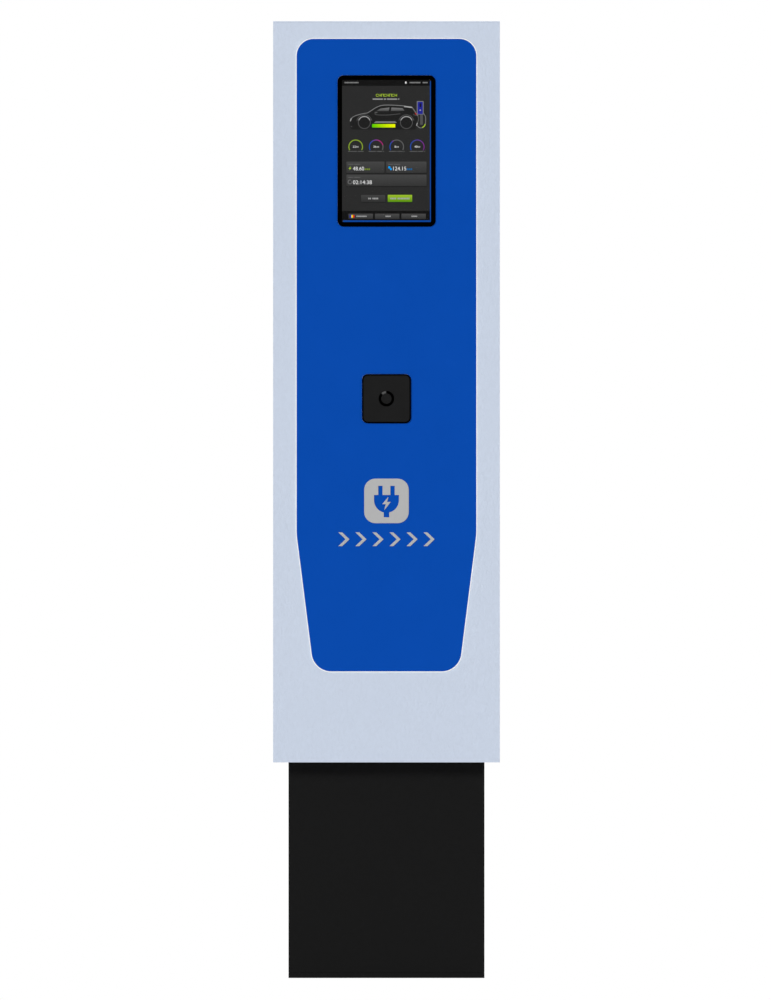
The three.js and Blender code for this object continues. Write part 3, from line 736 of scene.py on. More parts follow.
def make_floor():
    """A plain pale floor, whose faint mottling only shows close by."""
    surface = Surface("floor_paint", specular=0.2)
    mottle = surface.noise(120)
    paint = surface.finish(
        surface.mixed(mottle, srgb(225, 225, 226), srgb(228, 228, 229)),
        surface.between(mottle, 0.7, 0.8),
    )
    reach = 40  # each way from the middle
    mesh = bmesh.new()
    bmesh.ops.create_grid(mesh, x_segments=8, y_segments=8, size=reach)
    floor = make_object("floor", mesh, paint)


make_floor()


# ---------------- marks on the front panel

MARK_THICKNESS = 0.5
MARK_EDGE = 0.12
panel_front = box_mm("front_panel")[0].y


def make_plug_mark():
    """A rounded tile with a plug cut out of it, and a bolt in the plug."""
    half = 34
    prong_in = 6
    prong_out = 12.5
    prong_top = 11
    body_top = 25
    bowl_middle = 33
    bowl = 19
    tail = 4.2
    tail_end = 59
    lean = math.degrees(math.asin(tail / bowl))
    place = front_face(0, panel_front, 762)
    tile = rectangle(-half, 0, half, 2 * half, half / 2, steps=8)
    plug = [
        (-bowl, body_top), (-prong_out, body_top), (-prong_out, prong_top), (-prong_in, prong_top),
        (-prong_in, body_top), (prong_in, body_top), (prong_in, prong_top), (prong_out, prong_top),
        (prong_out, body_top), (bowl, body_top),
        *arc(0, bowl_middle, bowl, 0, lean - 90, 10),
        (tail, tail_end), (-tail, tail_end),
        *arc(0, bowl_middle, bowl, -90 - lean, -180, 10),
    ]
    bolt = [(3, 27.5), (-6.5, 39), (-1, 39), (-3.5, 48.5), (6.5, 35.5), (1, 35.5)]
    mesh = bmesh.new()
    add_slab(mesh, [tile, plug], place, 0.0, MARK_THICKNESS)
    add_slab(mesh, [bolt], place, 0.0, MARK_THICKNESS)
    finish_piece("plug_mark", mesh, finishes["mark_grey"], "trim_pale", edge=MARK_EDGE)


def make_arrow_row():
    """A row of plain arrow heads under the plug."""
    count = 6
    row_width = 147
    width = 17
    height = 21
    stroke = 5.98  # measured level
    place = front_face(-row_width / 2, panel_front, 680)
    mesh = bmesh.new()
    for i in range(count):
        left = i * (row_width - width) / (count - 1)
        head = [
            (left, 0),
            (left + stroke, 0),
            (left + width, height / 2),
            (left + stroke, height),
            (left, height),
            (left + width - stroke, height / 2),
        ]
        add_slab(mesh, [head], place, 0.0, MARK_THICKNESS)
    finish_piece("arrow_row", mesh, finishes["mark_grey"], "trim_pale", edge=MARK_EDGE)


make_plug_mark()
make_arrow_row()


# ---------------- display picture
#
# Its places are millimetres across and down from the display's top left corner.

PICTURE_WIDTH = 135.6
PICTURE_DEPTH = 216.9


class Picture:
    """Shapes on the display, gathered into one mesh for each light they are lit with."""

    def __init__(self):
        self.left = -PICTURE_WIDTH / 2
        self.top = box_mm("display_glass")[1].z + PICTURE_DEPTH / 2
        raised = 1.1  # the whole layout, to sit level with the bezel
        self.place = front_face(self.left, box_mm("lcd_module")[0].y, self.top + raised)
        self.parts = {}

    def ink(self, name, colour, second=None, down=None, across=None):
        """Makes the light for shapes of this name. It may change to a second colour between two
        depths down the display, or between two places across it."""
        along = None
        reach = None
        if down:
            along = "Z"
            reach = [(self.top - depth) * MM for depth in down]
        if across:
            along = "X"
            reach = [(self.left + u) * MM for u in across]
        material = lit_picture("picture_" + name, colour, second, along, reach)
        self.parts[name] = (bmesh.new(), material)

    def add(self, add_shape, ink, layer, *values):
        """Adds a shape. A higher layer stands out further, and so hides the lower ones."""
        front = 0.06 + 0.05 * layer
        add_shape(self.parts[ink][0], *values, self.place, 0.02, front)

    def shape(self, ink, layer, *outline):
        self.add(add_slab, ink, layer, [outline])

    def bar(self, ink, layer, left, top, right, bottom, radius=0.0):
        self.shape(ink, layer, *rectangle(left, top, right, bottom, radius))

    def disc(self, ink, layer, u, v, radius):
        self.add(add_disc, ink, layer, u, v, radius)

    def line(self, ink, layer, width, *path):
        self.add(add_stroke, ink, layer, path, width)

    def curve(self, ink, layer, width, *points):
        self.line(ink, layer, width, *smooth_path(points))

    def arc(self, ink, layer, width, u, v, radius, start, end):
        steps = max(6, int(abs(end - start) / 6))
        self.line(ink, layer, width, *arc(u, v, radius, start, end, steps))

    def words(self, ink, layer, left, right, middle, height, *letters):
        """Blocks where text would be: as many blocks in each word as `letters` says."""
        gap = 0.35
        space = 1.4
        units = sum(letters) + gap * (sum(letters) - len(letters)) + space * (len(letters) - 1)
        block = (right - left) / units
        u = left
        for count in letters:
            for _ in range(count):
                self.bar(ink, layer, u, middle - height / 2, u + block, middle + height / 2)
                u += block * (1 + gap)
            u += block * (space - gap)

    def number(self, ink, layer, text, left, top, right, height):
        self.add(add_figures, ink, layer, text, left, top, right, height)

    def finish(self):
        for name, (mesh, material) in self.parts.items():
            finish_piece("picture_" + name, mesh, material, "display_picture")


def draw_ground(picture):
    picture.ink("ground", grey(44))
    picture.ink("bars", grey(21))
    picture.ink("edge", srgb(13, 72, 160))
    over = 1  # how far the ground reaches under the bezel
    right = PICTURE_WIDTH + over
    bottom = PICTURE_DEPTH + over
    edge_left = PICTURE_WIDTH - 1.5
    edge_top = PICTURE_DEPTH - 1.5
    picture.bar("ground", 0, -over, -over, right, bottom)
    picture.bar("bars", 1, -over, -over, edge_left, 10.2)
    picture.bar("bars", 1, -over, 200.9, edge_left, edge_top)
    picture.bar("edge", 1, edge_left, 3, right, bottom)
    picture.bar("edge", 1, 1.5, edge_top, right, bottom)


def draw_texts(picture):
    for name, level in (("white", 236), ("text", 170), ("pale", 140), ("dim", 98)):
        picture.ink(name, grey(level))
    picture.ink("lime", srgb(168, 198, 50))
    picture.words("pale", 2, 4, 25, 5.2, 2.0, 11)
    picture.bar("white", 2, 96.2, 3.5, 98.4, 6.9, radius=0.9)
    picture.words("pale", 2, 103.2, 119.4, 5.2, 2.0, 9)
    picture.words("pale", 2, 123.2, 130.3, 5.2, 2.0, 4)
    draw_heading(picture, 51.7, 84, 24.6)
    picture.words("text", 2, 46.9, 87.1, 30.4, 2.0, 9, 2, 9, 1)


def draw_heading(picture, left, right, middle):
    """A row of open rings and uprights where a heading would be."""
    count = 8
    stroke = 0.7
    half = 2.2
    inner = half - stroke / 2
    for i in range(count):
        u = left + (right - left) * (i + 0.5) / count
        if i % 3 == 0:
            picture.arc("lime", 2, stroke, u, middle, inner, 45, 315)
            continue
        for upright in (u - inner * 0.8, u + inner * 0.8):
            picture.line("lime", 2, stroke, (upright, middle - half), (upright, middle + half))
        across = middle if i % 3 == 1 else middle - inner
        picture.line("lime", 2, stroke, (u - half * 0.7, across), (u + half * 0.7, across))


def draw_car(picture):
    """A plain hatchback seen from the side, over its battery."""
    for name, level in (("body", 33), ("line", 128), ("faint", 84), ("bright", 170)):
        picture.ink("car_" + name, grey(level))
    picture.ink("car_window", grey(52), grey(118), down=(49, 43))
    picture.ink("tail_light", srgb(196, 26, 22))
    picture.ink("battery", srgb(84, 205, 0), srgb(244, 250, 0), across=(46, 80))
    bonnet = [(12.6, 64.6), (13.3, 61), (18.3, 56.8), (26, 54), (33.6, 52.3), (38.8, 51.6)]
    roof = [(38.8, 51.6), (45, 47.6), (52.6, 42.9), (59, 40.4), (67, 39.5), (81, 39.8), (94.6, 40.8)]
    tail = [(106.6, 42.3), (109.8, 47), (113.2, 52.3), (115.8, 56)]
    bumper = [(115.8, 56), (116.6, 61), (115, 67.2), (113.6, 71)]
    underside = [(112, 77), (14, 77), (12, 72)]
    picture.shape(
        "car_body", 1,
        *smooth_path(bonnet, 3), *smooth_path(roof, 3)[1:], *tail, *bumper[1:], *underside,
    )
    picture.curve("car_line", 2, 1.0, *bonnet)
    picture.curve("car_line", 2, 1.1, *roof)
    picture.line("car_line", 3, 1.1, *tail)
    picture.curve("car_faint", 2, 1.2, *bumper)
    picture.curve("car_faint", 2, 0.9, (50.2, 51.6), (52.6, 54.2), (70, 54.6), (88.9, 52.7))
    picture.line("car_faint", 3, 0.9, (108.5, 53.2), (110.5, 54.8), (114.7, 55.6))
    picture.line("car_faint", 3, 1.2, (13.4, 72.2), (15.2, 72.2))
    picture.line("car_bright", 2, 1.9, (94.6, 41.4), (100, 42.2), (106.6, 43))
    picture.line("car_bright", 3, 1.2, (114.9, 66.6), (113.6, 71))
    picture.line("car_bright", 3, 1.4, (12.8, 63.6), (14.2, 59.8))
    picture.shape("car_window", 2, (52.4, 48.6), (58.5, 44.9), (72.4, 43.2), (71.2, 48.6))
    picture.shape("car_window", 2, (75.4, 43.2), (92.4, 44.2), (95.3, 48), (74.4, 48.6))
    picture.bar("car_faint", 3, 49.6, 49.8, 54, 51.8, radius=0.9)
    picture.shape("tail_light", 4, (110.9, 51.2), (112.6, 51.4), (114.3, 54), (112.5, 54.2))
    draw_wheel(picture, 34.0, 66.2, 9.2)
    draw_wheel(picture, 98.2, 66.2, 9.2)
    picture.shape("car_line", 2, (48.6, 66.6), (51.5, 64.4), (81, 64.4), (83.8, 66.6))
    picture.bar("battery", 3, 45.8, 68.4, 81.2, 73.7, radius=0.6)
    picture.bar("car_body", 3, 81.6, 69.3, 84, 72.8, radius=0.4)


def draw_wheel(picture, u, v, radius):
    picture.arc("car_faint", 2, 1.0, u, v, radius + 2.6, 165, 15)
    picture.disc("ground", 2, u, v, radius + 0.6)
    picture.disc("car_body", 3, u, v, radius - 0.6)
    picture.arc("car_bright", 4, 1.3, u, v, radius, 158, 22)
    picture.arc("car_faint", 3, 1.0, u, v, radius, 22, -202)


def draw_charger(picture):
    """A charging post behind the car, with its cable."""
    picture.ink("post_blue", srgb(38, 42, 150))
    picture.bar("car_line", 2, 114.1, 33.4, 124.4, 53.8, radius=1)
    picture.bar("post_blue", 3, 115.2, 34.5, 123.3, 53.2, radius=0.6)
    picture.bar("bars", 4, 118.2, 37, 120.7, 42.4)
    picture.disc("car_bright", 4, 119.3, 47.3, 1.1)
    picture.bar("car_faint", 2, 119.2, 53.8, 123.2, 69.4)
    picture.curve("car_line", 3, 0.9, (124.4, 52.6), (127.3, 57), (127.6, 64), (127, 68.4))
    picture.curve("lime", 4, 1.5, (127, 68.4), (125.4, 71.6), (122.3, 73.9))
    picture.curve("car_line", 3, 0.9, (122.3, 74), (118.4, 74.2), (114.4, 70.6))


def draw_gauges(picture):
    """Four open rings: how much of each is lit, in which colours, and the number in it."""
    first = 208
    sweep = 236
    radius = 10.4
    stroke = 1.35
    v = 103.2
    picture.ink("lime_ring", srgb(142, 172, 46))
    for name, u, share, colour, text in (
        ("lime_ring", 20.8, 1.0, None, "22"),
        ("gauge_warm", 52.1, 0.82, srgb(176, 30, 120), "36"),
        ("gauge_short", 83.4, 0.38, srgb(168, 28, 120), "8"),
        ("gauge_cool", 114.8, 1.0, srgb(124, 44, 138), "48"),
    ):
        if colour:
            ends = (u - radius * 0.8, u + radius * (2 * share - 1))
            picture.ink(name, srgb(34, 78, 178), colour, across=ends)
        end = first - sweep * share
        picture.arc(name, 2, stroke, u, v, radius, first, end)
        if share < 1:
            picture.arc("dim", 2, stroke, u, v, radius, end, first - sweep)
        width = 2.2 * len(text)
        left = u - (width + 4.2) / 2
        picture.number("white", 2, text, left, v - 1.8, left + width, 3.1)
        picture.words("text", 2, left + width + 0.5, left + width + 4.2, v + 0.1, 2.2, 2)
        label = (7, 5, 1) if colour else (8, 5)
        picture.words("dim", 2, u - 11.5, u + 11.8, 110.2, 1.4, *label)


def draw_cards(picture):
    """Three cards with a sign and a number each, and a unit on the upper two."""
    upper = (125.6, 143.1)
    lower = (145.5, 163.0)
    picture.ink("card_upper", grey(70), grey(53), down=upper)
    picture.ink("card_lower", grey(70), grey(53), down=lower)
    picture.ink("shade", grey(33))
    picture.ink("sky", srgb(0, 162, 255))
    picture.ink("lime_dim", srgb(118, 143, 40))
    picture.ink("sky_dim", srgb(8, 104, 170))
    for ink, left, right, (top, bottom) in (
        ("card_upper", 6.6, 64.8, upper),
        ("card_upper", 67.2, 129, upper),
        ("card_lower", 6.6, 129, lower),
    ):
        picture.bar("shade", 1, left - 0.6, top - 0.4, right + 0.6, bottom + 1.4, radius=1.4)
        picture.bar(ink, 2, left, top, right, bottom, radius=1)
        picture.words("dim", 3, left + 3.2, left + 21, top + 4.3, 1.4, 5, 6)
    bolt = [(1.4, -3.4), (-2.3, 0.7), (-0.1, 0.7), (-1.4, 3.4), (2.3, -0.8), (0.1, -0.8)]
    picture.shape("lime", 3, *((12.1 + u, 136 + v) for u, v in bolt))
    picture.bar("sky", 3, 70.6, 132.9, 73.8, 136.4, radius=1)
    picture.bar("sky", 3, 73.2, 135.8, 76, 138.8, radius=1)
    picture.arc("car_line", 3, 0.7, 12.1, 156.8, 2.9, 60, 380)
    picture.number("white", 3, "48.60", 16.6, 133.5, 33.6, 5.8)
    picture.words("lime_dim", 3, 34.4, 42.6, 137.4, 2.4, 3)
    picture.number("white", 3, "124.15", 78, 133.5, 97.9, 5.8)
    picture.words("sky_dim", 3, 98.7, 106.9, 137.4, 2.4, 3)
    picture.number("white", 3, "02:14:38", 16.6, 154.4, 45.4, 5.8)


def draw_buttons(picture):
    middle = (176.5, 187.4)
    footer = (205.2, 213.2)
    picture.ink("button", grey(66), grey(48), down=middle)
    picture.ink("button_green", srgb(156, 192, 44), srgb(72, 134, 12), down=middle)
    picture.ink("button_footer", grey(72), grey(48), down=footer)
    for ink, left, right, text_left, text_right, letters in (
        ("button", 28.9, 66.1, 40, 55, (2, 4)),
        ("button_green", 69.7, 107, 73.8, 102.8, (4, 8)),
    ):
        top, bottom = middle
        picture.bar("shade", 1, left - 0.7, top - 0.3, right + 0.7, bottom + 1.2, radius=1)
        picture.bar(ink, 2, left, top, right, bottom, radius=0.8)
        picture.words("text", 3, text_left, text_right, 182.1, 2.4, *letters)
    for left, text_left, text_right, letters in (
        (9.8, 22, 37.4, 8),
        (50.2, 66.4, 74, 4),
        (90.6, 106, 114.6, 5),
    ):
        top, bottom = footer
        picture.bar("button_footer", 2, left, top, left + 37.3, bottom, radius=0.6)
        picture.words("text", 3, text_left, text_right, 209.2, 2.0, letters)


def draw_language_sign(picture):
    """Three stripes that mark the language button."""
    left = 11.7
    stripe = 2.4
    for name, colour in (
        ("stripe_blue", srgb(16, 42, 190)),
        ("stripe_yellow", srgb(246, 226, 20)),
        ("stripe_red", srgb(222, 26, 24)),
    ):
        picture.ink(name, colour)
        picture.bar(name, 3, left, 207.2, left + stripe, 211.4)
        left += stripe


display = Picture()
for draw in (
    draw_ground, draw_texts, draw_car, draw_charger, draw_gauges, draw_cards, draw_buttons,
    draw_language_sign,
):
    draw(display)
display.finish()


# ---------------- small pieces

# The meshes that gather them. Each has a material and a slot, and where they aren't the usual ones
# also a body and how far its edges are rounded.
KIT = {
    "frame_screws": ("steel_screw", "hinge_steel"),
    "door_screws": ("steel_screw", "hinge_steel", "door"),
    "plinth_screws": ("black_screw", "plinth_paint"),
    "socket_screws": ("steel_screw", "hinge_steel"),
    "contact_sleeves": ("brass", "lock_metal"),
    "reader_rim": ("bezel_black", "bezel_black"),
    # window seals: black seals in the plates' gaps, which also serve as painted shade
    "gap_seals_and_shade": ("bezel_black", "seal_rubber"),
    "roof_seam": ("cabinet_paint", "cabinet_paint"),
    "foot_seal": ("plinth_paint", "seal_rubber"),
    # terminal shade and posts: painted shade in the terminals' holes and screw slots, and the earth
    # bar's dark posts
    "terminal_shade_and_posts": ("recess_dark", "device_plastic"),
    "terminal_screws": ("steel_screw", "hinge_steel"),
    # device seams and shade: dark seams and frames on the devices, and painted shade in cooling slots
    # and ports
    "device_seams": ("recess_dark", "device_plastic"),
    "device_labels": ("label_white", "device_plastic", "kiosk", 0.1),
    "device_stripes": ("label_blue", "device_plastic"),
    "device_buttons": ("button_orange", "device_plastic", "kiosk", 0.3),
    "device_screens": ("meter_screen", "device_plastic"),
    "device_figures": ("recess_dark", "device_plastic"),
    # real lamps, and the surge protector's status windows, which glow with painted light
    "device_lamps": ("lamp_green", "device_plastic"),
    "pulse_lamps": ("lamp_red", "device_plastic"),
    "cartridges": ("device_plastic", "device_plastic", "kiosk", 0.5),
    "connectors": ("connector_green", "device_plastic", "kiosk", 0.3),
    "wiring_ducts": ("duct_grey", "device_plastic", "kiosk", 0.25),
    "supply_cable": ("gland_plastic", "gland_plastic"),
    "earth_bar": ("copper", "lock_metal", "kiosk", 0.3),
    "door_stiffener": ("cabinet_paint", "cabinet_paint", "door", 0.5),
    "document_pocket": ("pocket_grey", "device_plastic", "door", 0.8),
}
for colour in ("brown", "black", "grey", "blue", "green", "white"):
    KIT["wires_" + colour] = ("wire_" + colour, "gland_plastic")
for level in ("upper", "lower"):
    lock = "lock_" + level
    KIT["key_rim_" + level] = ("lock_metal", "lock_metal", lock, 0.1)
    # The keyway disc is dark: painted shade in the keyway.
    KIT["key_recess_" + level] = ("recess_dark", "lock_metal", lock)
    KIT["key_bits_" + level] = ("steel_screw", "lock_metal", lock, 0.1)
for side in ("right", "left"):
    lid = "lid_" + side
    KIT["lid_rim_" + side] = ("socket_plastic", "socket_plastic", lid, 0.3)
    KIT["lid_gasket_" + side] = ("seal_rubber", "socket_plastic", lid, 0.2)
    KIT["lid_sign_" + side] = ("label_white", "socket_plastic", lid)
kit = {name: bmesh.new() for name in KIT}


def bar_on(name, place, left, top, right, bottom, height, radius=0.0, below=0.2):
    """A flat bar, from `below` under a face to `height` above it."""
    outline = rectangle(left, top, right, bottom, radius, steps=3)
    add_slab(kit[name], [outline], place, -below, height)


# --- outside: hinges, locks, plinth cover, plates, seams and sockets

SCREW_HEAD = 3.4  # the radius of a hinge's and of a socket's screw heads


def add_hinge_screws():
    leaf_thickness = 2.2
    spread = 20  # up and down from a leaf's middle
    leaf_face = box_mm("hinge_upper_door_leaf")[0].y + leaf_thickness
    for level in ("lower", "upper"):
        for part in ("frame", "door"):
            low, middle, high = box_mm(f"hinge_{level}_{part}_leaf")
            x = low.x + 6 if part == "frame" else high.x - 10
            for height in (-spread, spread):
                centre = Vector((x, leaf_face, middle.z + height))
                add_socket_screw(kit[part + "_screws"], centre, BACK, SCREW_HEAD)


def add_lock_inserts():
    """A double-bit key insert in the end of each lock's plug."""
    for level in ("lower", "upper"):
        middle = box_mm(f"lock_{level}_barrel")[1]
        plug_end = box_mm(f"lock_{level}_cam")[2].y
        place = rear_face(middle.x, plug_end, middle.z)
        add_ring(kit["key_rim_" + level], 0, 0, 4.2, 5.2, place, -0.1, 0.4, steps=32)
        # The dark disc is painted shade in the keyway round the key bits.
        add_disc(kit["key_recess_" + level], 0, 0, 4.3, place, -0.1, 0.06)
        add_disc(kit["key_bits_" + level], 0, 0, 1.3, place, -0.1, 0.36)
        wing = rectangle(-3.3, -0.6, 3.3, 0.6, 0.4, steps=2)
        add_slab(kit["key_bits_" + level], [wing], place, -0.1, 0.3)


def add_plinth_screws():
    low, middle, high = box_mm("plinth_rear_cover")
    inset = 7
    washer = [(5.4, 0), (5.4, 0.8), (5.0, 1.0)]
    screws = kit["plinth_screws"]
    for x in (low.x + inset, middle.x, high.x - inset):
        for z in (low.z + inset, high.z - inset):
            centre = Vector((x, high.y, z))
            add_turned(screws, washer, centre, BACK)
            add_socket_screw(screws, centre + BACK * 0.9, BACK, 3.8)


def add_plate_border(name, plate, corner, y, insets, low, high):
    """A band along the edge of a front plate, from the first to the second inset from that edge."""
    middle, corner_high = box_mm(plate)[1:]
    half = corner_high - middle
    outer, inner = (
        rectangle(inset - half.x, inset - half.z, half.x - inset, half.z - inset, corner - inset)
        for inset in insets
    )
    add_band(kit[name], inner, outer, front_face(middle.x, y, middle.z), low, high)


def add_plate_borders():
    """A black border round the edge of the reader's face, and black seals in the gaps round both
    plates, which are also painted shade in those gaps.
    """
    reader_front = box_mm("reader_housing")[0].y
    add_plate_border("reader_rim", "reader_housing", 8.5, reader_front, (0.1, 2.0), -0.1, 0.12)
    # The seals darken the gaps as shade would, where the panel casts no shadow of the key light.
    for plate, corner in (("display_bezel", 9), ("reader_housing", 8.4)):
        add_plate_border("gap_seals_and_shade", plate, corner, panel_front, (-0.28, -0.02), -1.9, -0.3)


def add_seam(name, lower, inset, width):
    """Fills the joint above a stacked node with a band that runs all the way round."""
    middle, high = box_mm(lower)[1:]
    half = high - middle
    outer, inner = (
        rectangle(gap - half.x, gap - half.y, half.x - gap, half.y - gap)
        for gap in (inset, inset + width)
    )
    joint = 0.3

    def place(x, y, lift):
        return Vector((x, y, high.z + lift)) * MM

    add_band(kit[name], inner, outer, place, 0, joint)


SOCKETS = (("right", RIGHT), ("left", LEFT))
SOCKET_Z = 596
# Across, up and radius of each contact, from the socket's axis.
CONTACTS = (
    (-6, 8, 2), (6, 8, 2), (-12, -1, 3.1), (0, -1, 3.1), (12, -1, 3.1), (-6.5, -11.5, 3.1),
    (6.5, -11.5, 3.1),
)


def add_socket_details():
    sleeve_x = box_mm("socket_right_insert")[2].x - 5
    flange_x = 146
    collar_x = 152
    lid_x = 156.6
    lid_z = 594
    hole = 31.5  # from the axis to each flange screw, across and up
    for side, out in SOCKETS:
        for across, up, radius in CONTACTS:
            centre = out * sleeve_x + Vector((0, across * out.x, SOCKET_Z + up))
            add_turned(kit["contact_sleeves"], [
                (radius - 0.25, -6), (radius - 0.25, 0), (radius * 0.55, 0), (radius * 0.55, -3),
            ], centre, out, steps=16)
        for y, z in rectangle(-hole, -hole, hole, hole):
            centre = out * flange_x + Vector((0, y, SOCKET_Z + z))
            add_socket_screw(kit["socket_screws"], centre, out, SCREW_HEAD)
        lid_back = face(out * (collar_x + 0.1) + UP * SOCKET_Z, BACK * out.x, out)
        add_ring(kit["lid_gasket_" + side], 0, 0, 27.4, 30.4, lid_back, 0, 0.7)
        lid_front = face(out * lid_x + UP * lid_z, BACK * out.x, out)
        rim = kit["lid_rim_" + side]
        outer = rectangle(-31, -31, 31, 31, 8.5)
        inner = rectangle(-28.8, -28.8, 28.8, 28.8, 6.8)
        add_band(rim, inner, outer, lid_front, -0.2, 1.1)
        add_lid_sign(kit["lid_sign_" + side], rim, lid_front)


def add_lid_sign(sign, ribs, place):
    """A plug printed on the lid, with a grip of three moulded ribs under it."""
    plug = [(-9, -7), (9, -7), (9, 1), (4, 6.5), (1.3, 6.5), (1.3, 12), (-1.3, 12), (-1.3, 6.5),
            (-4, 6.5), (-9, 1)]
    prongs = [rectangle(u - 1.3, -14, u + 1.3, -8, 1) for u in (-4.5, 4.5)]
    for outline in (plug, *prongs):
        add_slab(sign, [outline], place, -0.2, 0.4)
    for i in range(3):
        top = 17.5 + 3.2 * i
        add_slab(ribs, [rectangle(-13, top, 13, top + 1.5, 0.7)], place, -0.2, 1.1)


# --- inside: what is on the rail devices

POLE_WIDTH = 17.5
POLE_WIRES = ("brown", "black", "grey", "blue")
DUCT_ROWS = (1204, 1021, 842)  # the z of each level duct's middle
DUCT_MIDDLE = -42  # the y of it
DUCT_HALF = 20  # half the height of one


class Device:
    """A rail device, with faces to draw on: its nose, and its shoulders above and below the nose."""

    def __init__(self, node, shoulder, nose_height):
        low, middle, high = box_mm(node)
        self.x = middle.x
        self.z = middle.z
        self.half_width = high.x - middle.x
        self.half_height = high.z - middle.z
        self.half_nose = nose_height / 2
        self.shoulder_y = low.y + shoulder
        self.nose_y = high.y
        self.shoulder = rear_face(self.x, self.shoulder_y, self.z)
        self.nose = rear_face(self.x, self.nose_y, self.z)

    def draw(self, *bars):
        """Flat bars on the nose. Each is what bar_on takes, without the place."""
        for name, *shape in bars:
            bar_on(name, self.nose, *shape)

    def add_terminal(self, u, v, radius, place):
        # The dark disc is painted shade in the terminal's hole, and the dark bar across the screw head
        # is painted shade in its slot.
        add_disc(kit["terminal_shade_and_posts"], u, v, radius + 0.9, place, -0.2, 0.08)
        profile = [(radius, 0), (radius, 0.7), (radius * 0.85, 1.0)]
        add_turned(kit["terminal_screws"], profile, place(u, v, 0) / MM, BACK, steps=16)
        reach = radius * 0.8
        slot = radius * 0.14
        bar_on("terminal_shade_and_posts", place, u - reach, v - slot, u + reach, v + slot, 1.04, below=-0.9)

    def add_wires(self, colours, sign, radius=1.7):
        """Wires from the terminals at one end, sign 1 for the upper, into the nearest duct there."""
        ducts = [z for z in DUCT_ROWS if sign * (z - self.z) > 0]
        if not ducts:
            return
        duct_edge = min(ducts, key=lambda z: abs(z - self.z)) - sign * DUCT_HALF
        pitch = 2 * self.half_width / len(colours)
        start = self.z + sign * (self.half_height - 3)
        end = duct_edge + sign * 6
        y = self.shoulder_y - 11  # inside the terminals
        inside = min(y - 6, DUCT_MIDDLE)
        for i, colour in enumerate(colours):
            x = self.x + self.half_width - (i + 0.5) * pitch
            end_x = x - (i - (len(colours) - 1) / 2) * 1.2
            add_cable(kit["wires_" + colour], [
                (x, y, start),
                (x, y + 1, start + sign * 6),
                (end_x, (y + inside) / 2, (start + end) / 2 + sign),
                (end_x, inside, end - sign * 2),
                (end_x, inside, end + sign * 3),
            ], radius)

    def connect(self):
        """Four poles: seams between their terminals, and a terminal and a wire at both ends of each."""
        poles = len(POLE_WIRES)
        pitch = 2 * self.half_width / poles
        terminal_row = (self.half_height + self.half_nose) / 2
        for sign in (-1, 1):
            top, bottom = sorted((sign * self.half_nose, sign * self.half_height))
            for i in range(1, poles):
                u = i * pitch - self.half_width
                bar_on("device_seams", self.shoulder, u - 0.25, top, u + 0.25, bottom, 0.05)
            for i in range(poles):
                u = (i + 0.5) * pitch - self.half_width
                self.add_terminal(u, sign * terminal_row, 3.4, self.shoulder)
            self.add_wires(POLE_WIRES, sign)


# The rows in these functions give a bar's left, top, right, bottom and height. Some go on with its
# corner radius, and with how far below the face it starts.

def add_breakers():
    for node in ("main_switch", "rcbo_left", "rcbo_right"):
        breaker = Device(node, shoulder=48, nose_height=46)
        breaker.draw(
            ("device_labels", -30, 11, 6, 19.5, 0.3, 0.8),
            ("device_stripes", -30, -21, 30, -19, 0.25),
            ("device_labels", -30, -17.5, -10, -11.5, 0.3, 0.6),
            ("device_lamps", 20, -17.5, 27, -13.5, 0.25, 0.5),
        )
        if node != "main_switch":
            breaker.draw(("device_buttons", 14, 11.5, 22, 19.5, 1.6, 1))
        breaker.connect()


def add_surge_protector():
    surge = Device("surge_protector", shoulder=48, nose_height=46)
    for i in range(4):
        u = (i - 1.5) * POLE_WIDTH
        # The green status windows glow like lamps: painted light.
        surge.draw(
            ("cartridges", u - 7.8, -20.5, u + 7.8, 20.5, 1.4, 1),
            ("device_stripes", u - 6, -17, u + 6, -12, 1.65, 0, -1.3),
            ("device_lamps", u - 2.4, -8, u + 2.4, -4.6, 1.65, 0, -1.3),
            ("device_labels", u - 6, 2, u + 6, 15, 1.65, 0, -1.3),
        )
    surge.connect()


def add_meters():
    for node, reading in (("meter_left", "004217.6"), ("meter_right", "003985.2")):
        meter = Device(node, shoulder=48, nose_height=60)
        meter.draw(
            ("device_seams", -27, -24, 27, -4, 0.5, 1.5),
            ("device_screens", -25, -22, 25, -6, 0.7, 0.8, -0.4),
            ("device_labels", -27, 4, 8, 25, 0.3, 1),
            ("device_stripes", 15, 16, 27, 24, 1.2, 1.5),
        )
        add_figures(kit["device_figures"], reading, -21, -19, 21, 9.5, meter.nose, 0.6, 0.8)
        add_disc(kit["pulse_lamps"], 21, 9, 1.6, meter.nose, -0.1, 0.7)
        meter.connect()


def add_contactors():
    for node in ("contactor_left", "contactor_right"):
        contactor = Device(node, shoulder=58, nose_height=40)
        contactor.draw(
            ("device_seams", -13, -8, 13, 8, 0.25, 1.2),
            ("device_buttons", -3.5, -5, 3.5, 1, 1.4, 0.6),
            ("device_labels", -20, 11, 20, 17, 0.3, 0.5),
            ("device_stripes", -20, -17.5, 20, -15.5, 0.25),
        )
        contactor.connect()


def add_power_supply():
    """Rows of cooling slots, a rating label, a lamp and two terminal strips."""
    supply = Device("power_supply", shoulder=95, nose_height=110)
    # The cooling slots are dark bars: painted shade in the openings.
    for row_top in (-32, -12):
        for i in range(15):
            u = (i - 7) * 5.6
            supply.draw(("device_seams", u - 1.1, row_top, u + 1.1, row_top + 15, 0.08, 1))
    supply.draw(("device_labels", -40, 10, 18, 33, 0.3, 1))
    add_disc(kit["device_lamps"], 34, 16, 1.8, supply.nose, -0.1, 0.8)
    strip_height = 4
    strip = rear_face(supply.x, supply.nose_y + strip_height, supply.z)
    for v in (-45, 45):
        supply.draw(("cartridges", -44, v - 7, 44, v + 7, strip_height, 1))
        for i in range(8):
            supply.add_terminal((i - 3.5) * 10.4, v, 2.8, strip)
    supply.add_wires(("brown", "blue", "green", "brown", "blue"), -1, radius=1.2)


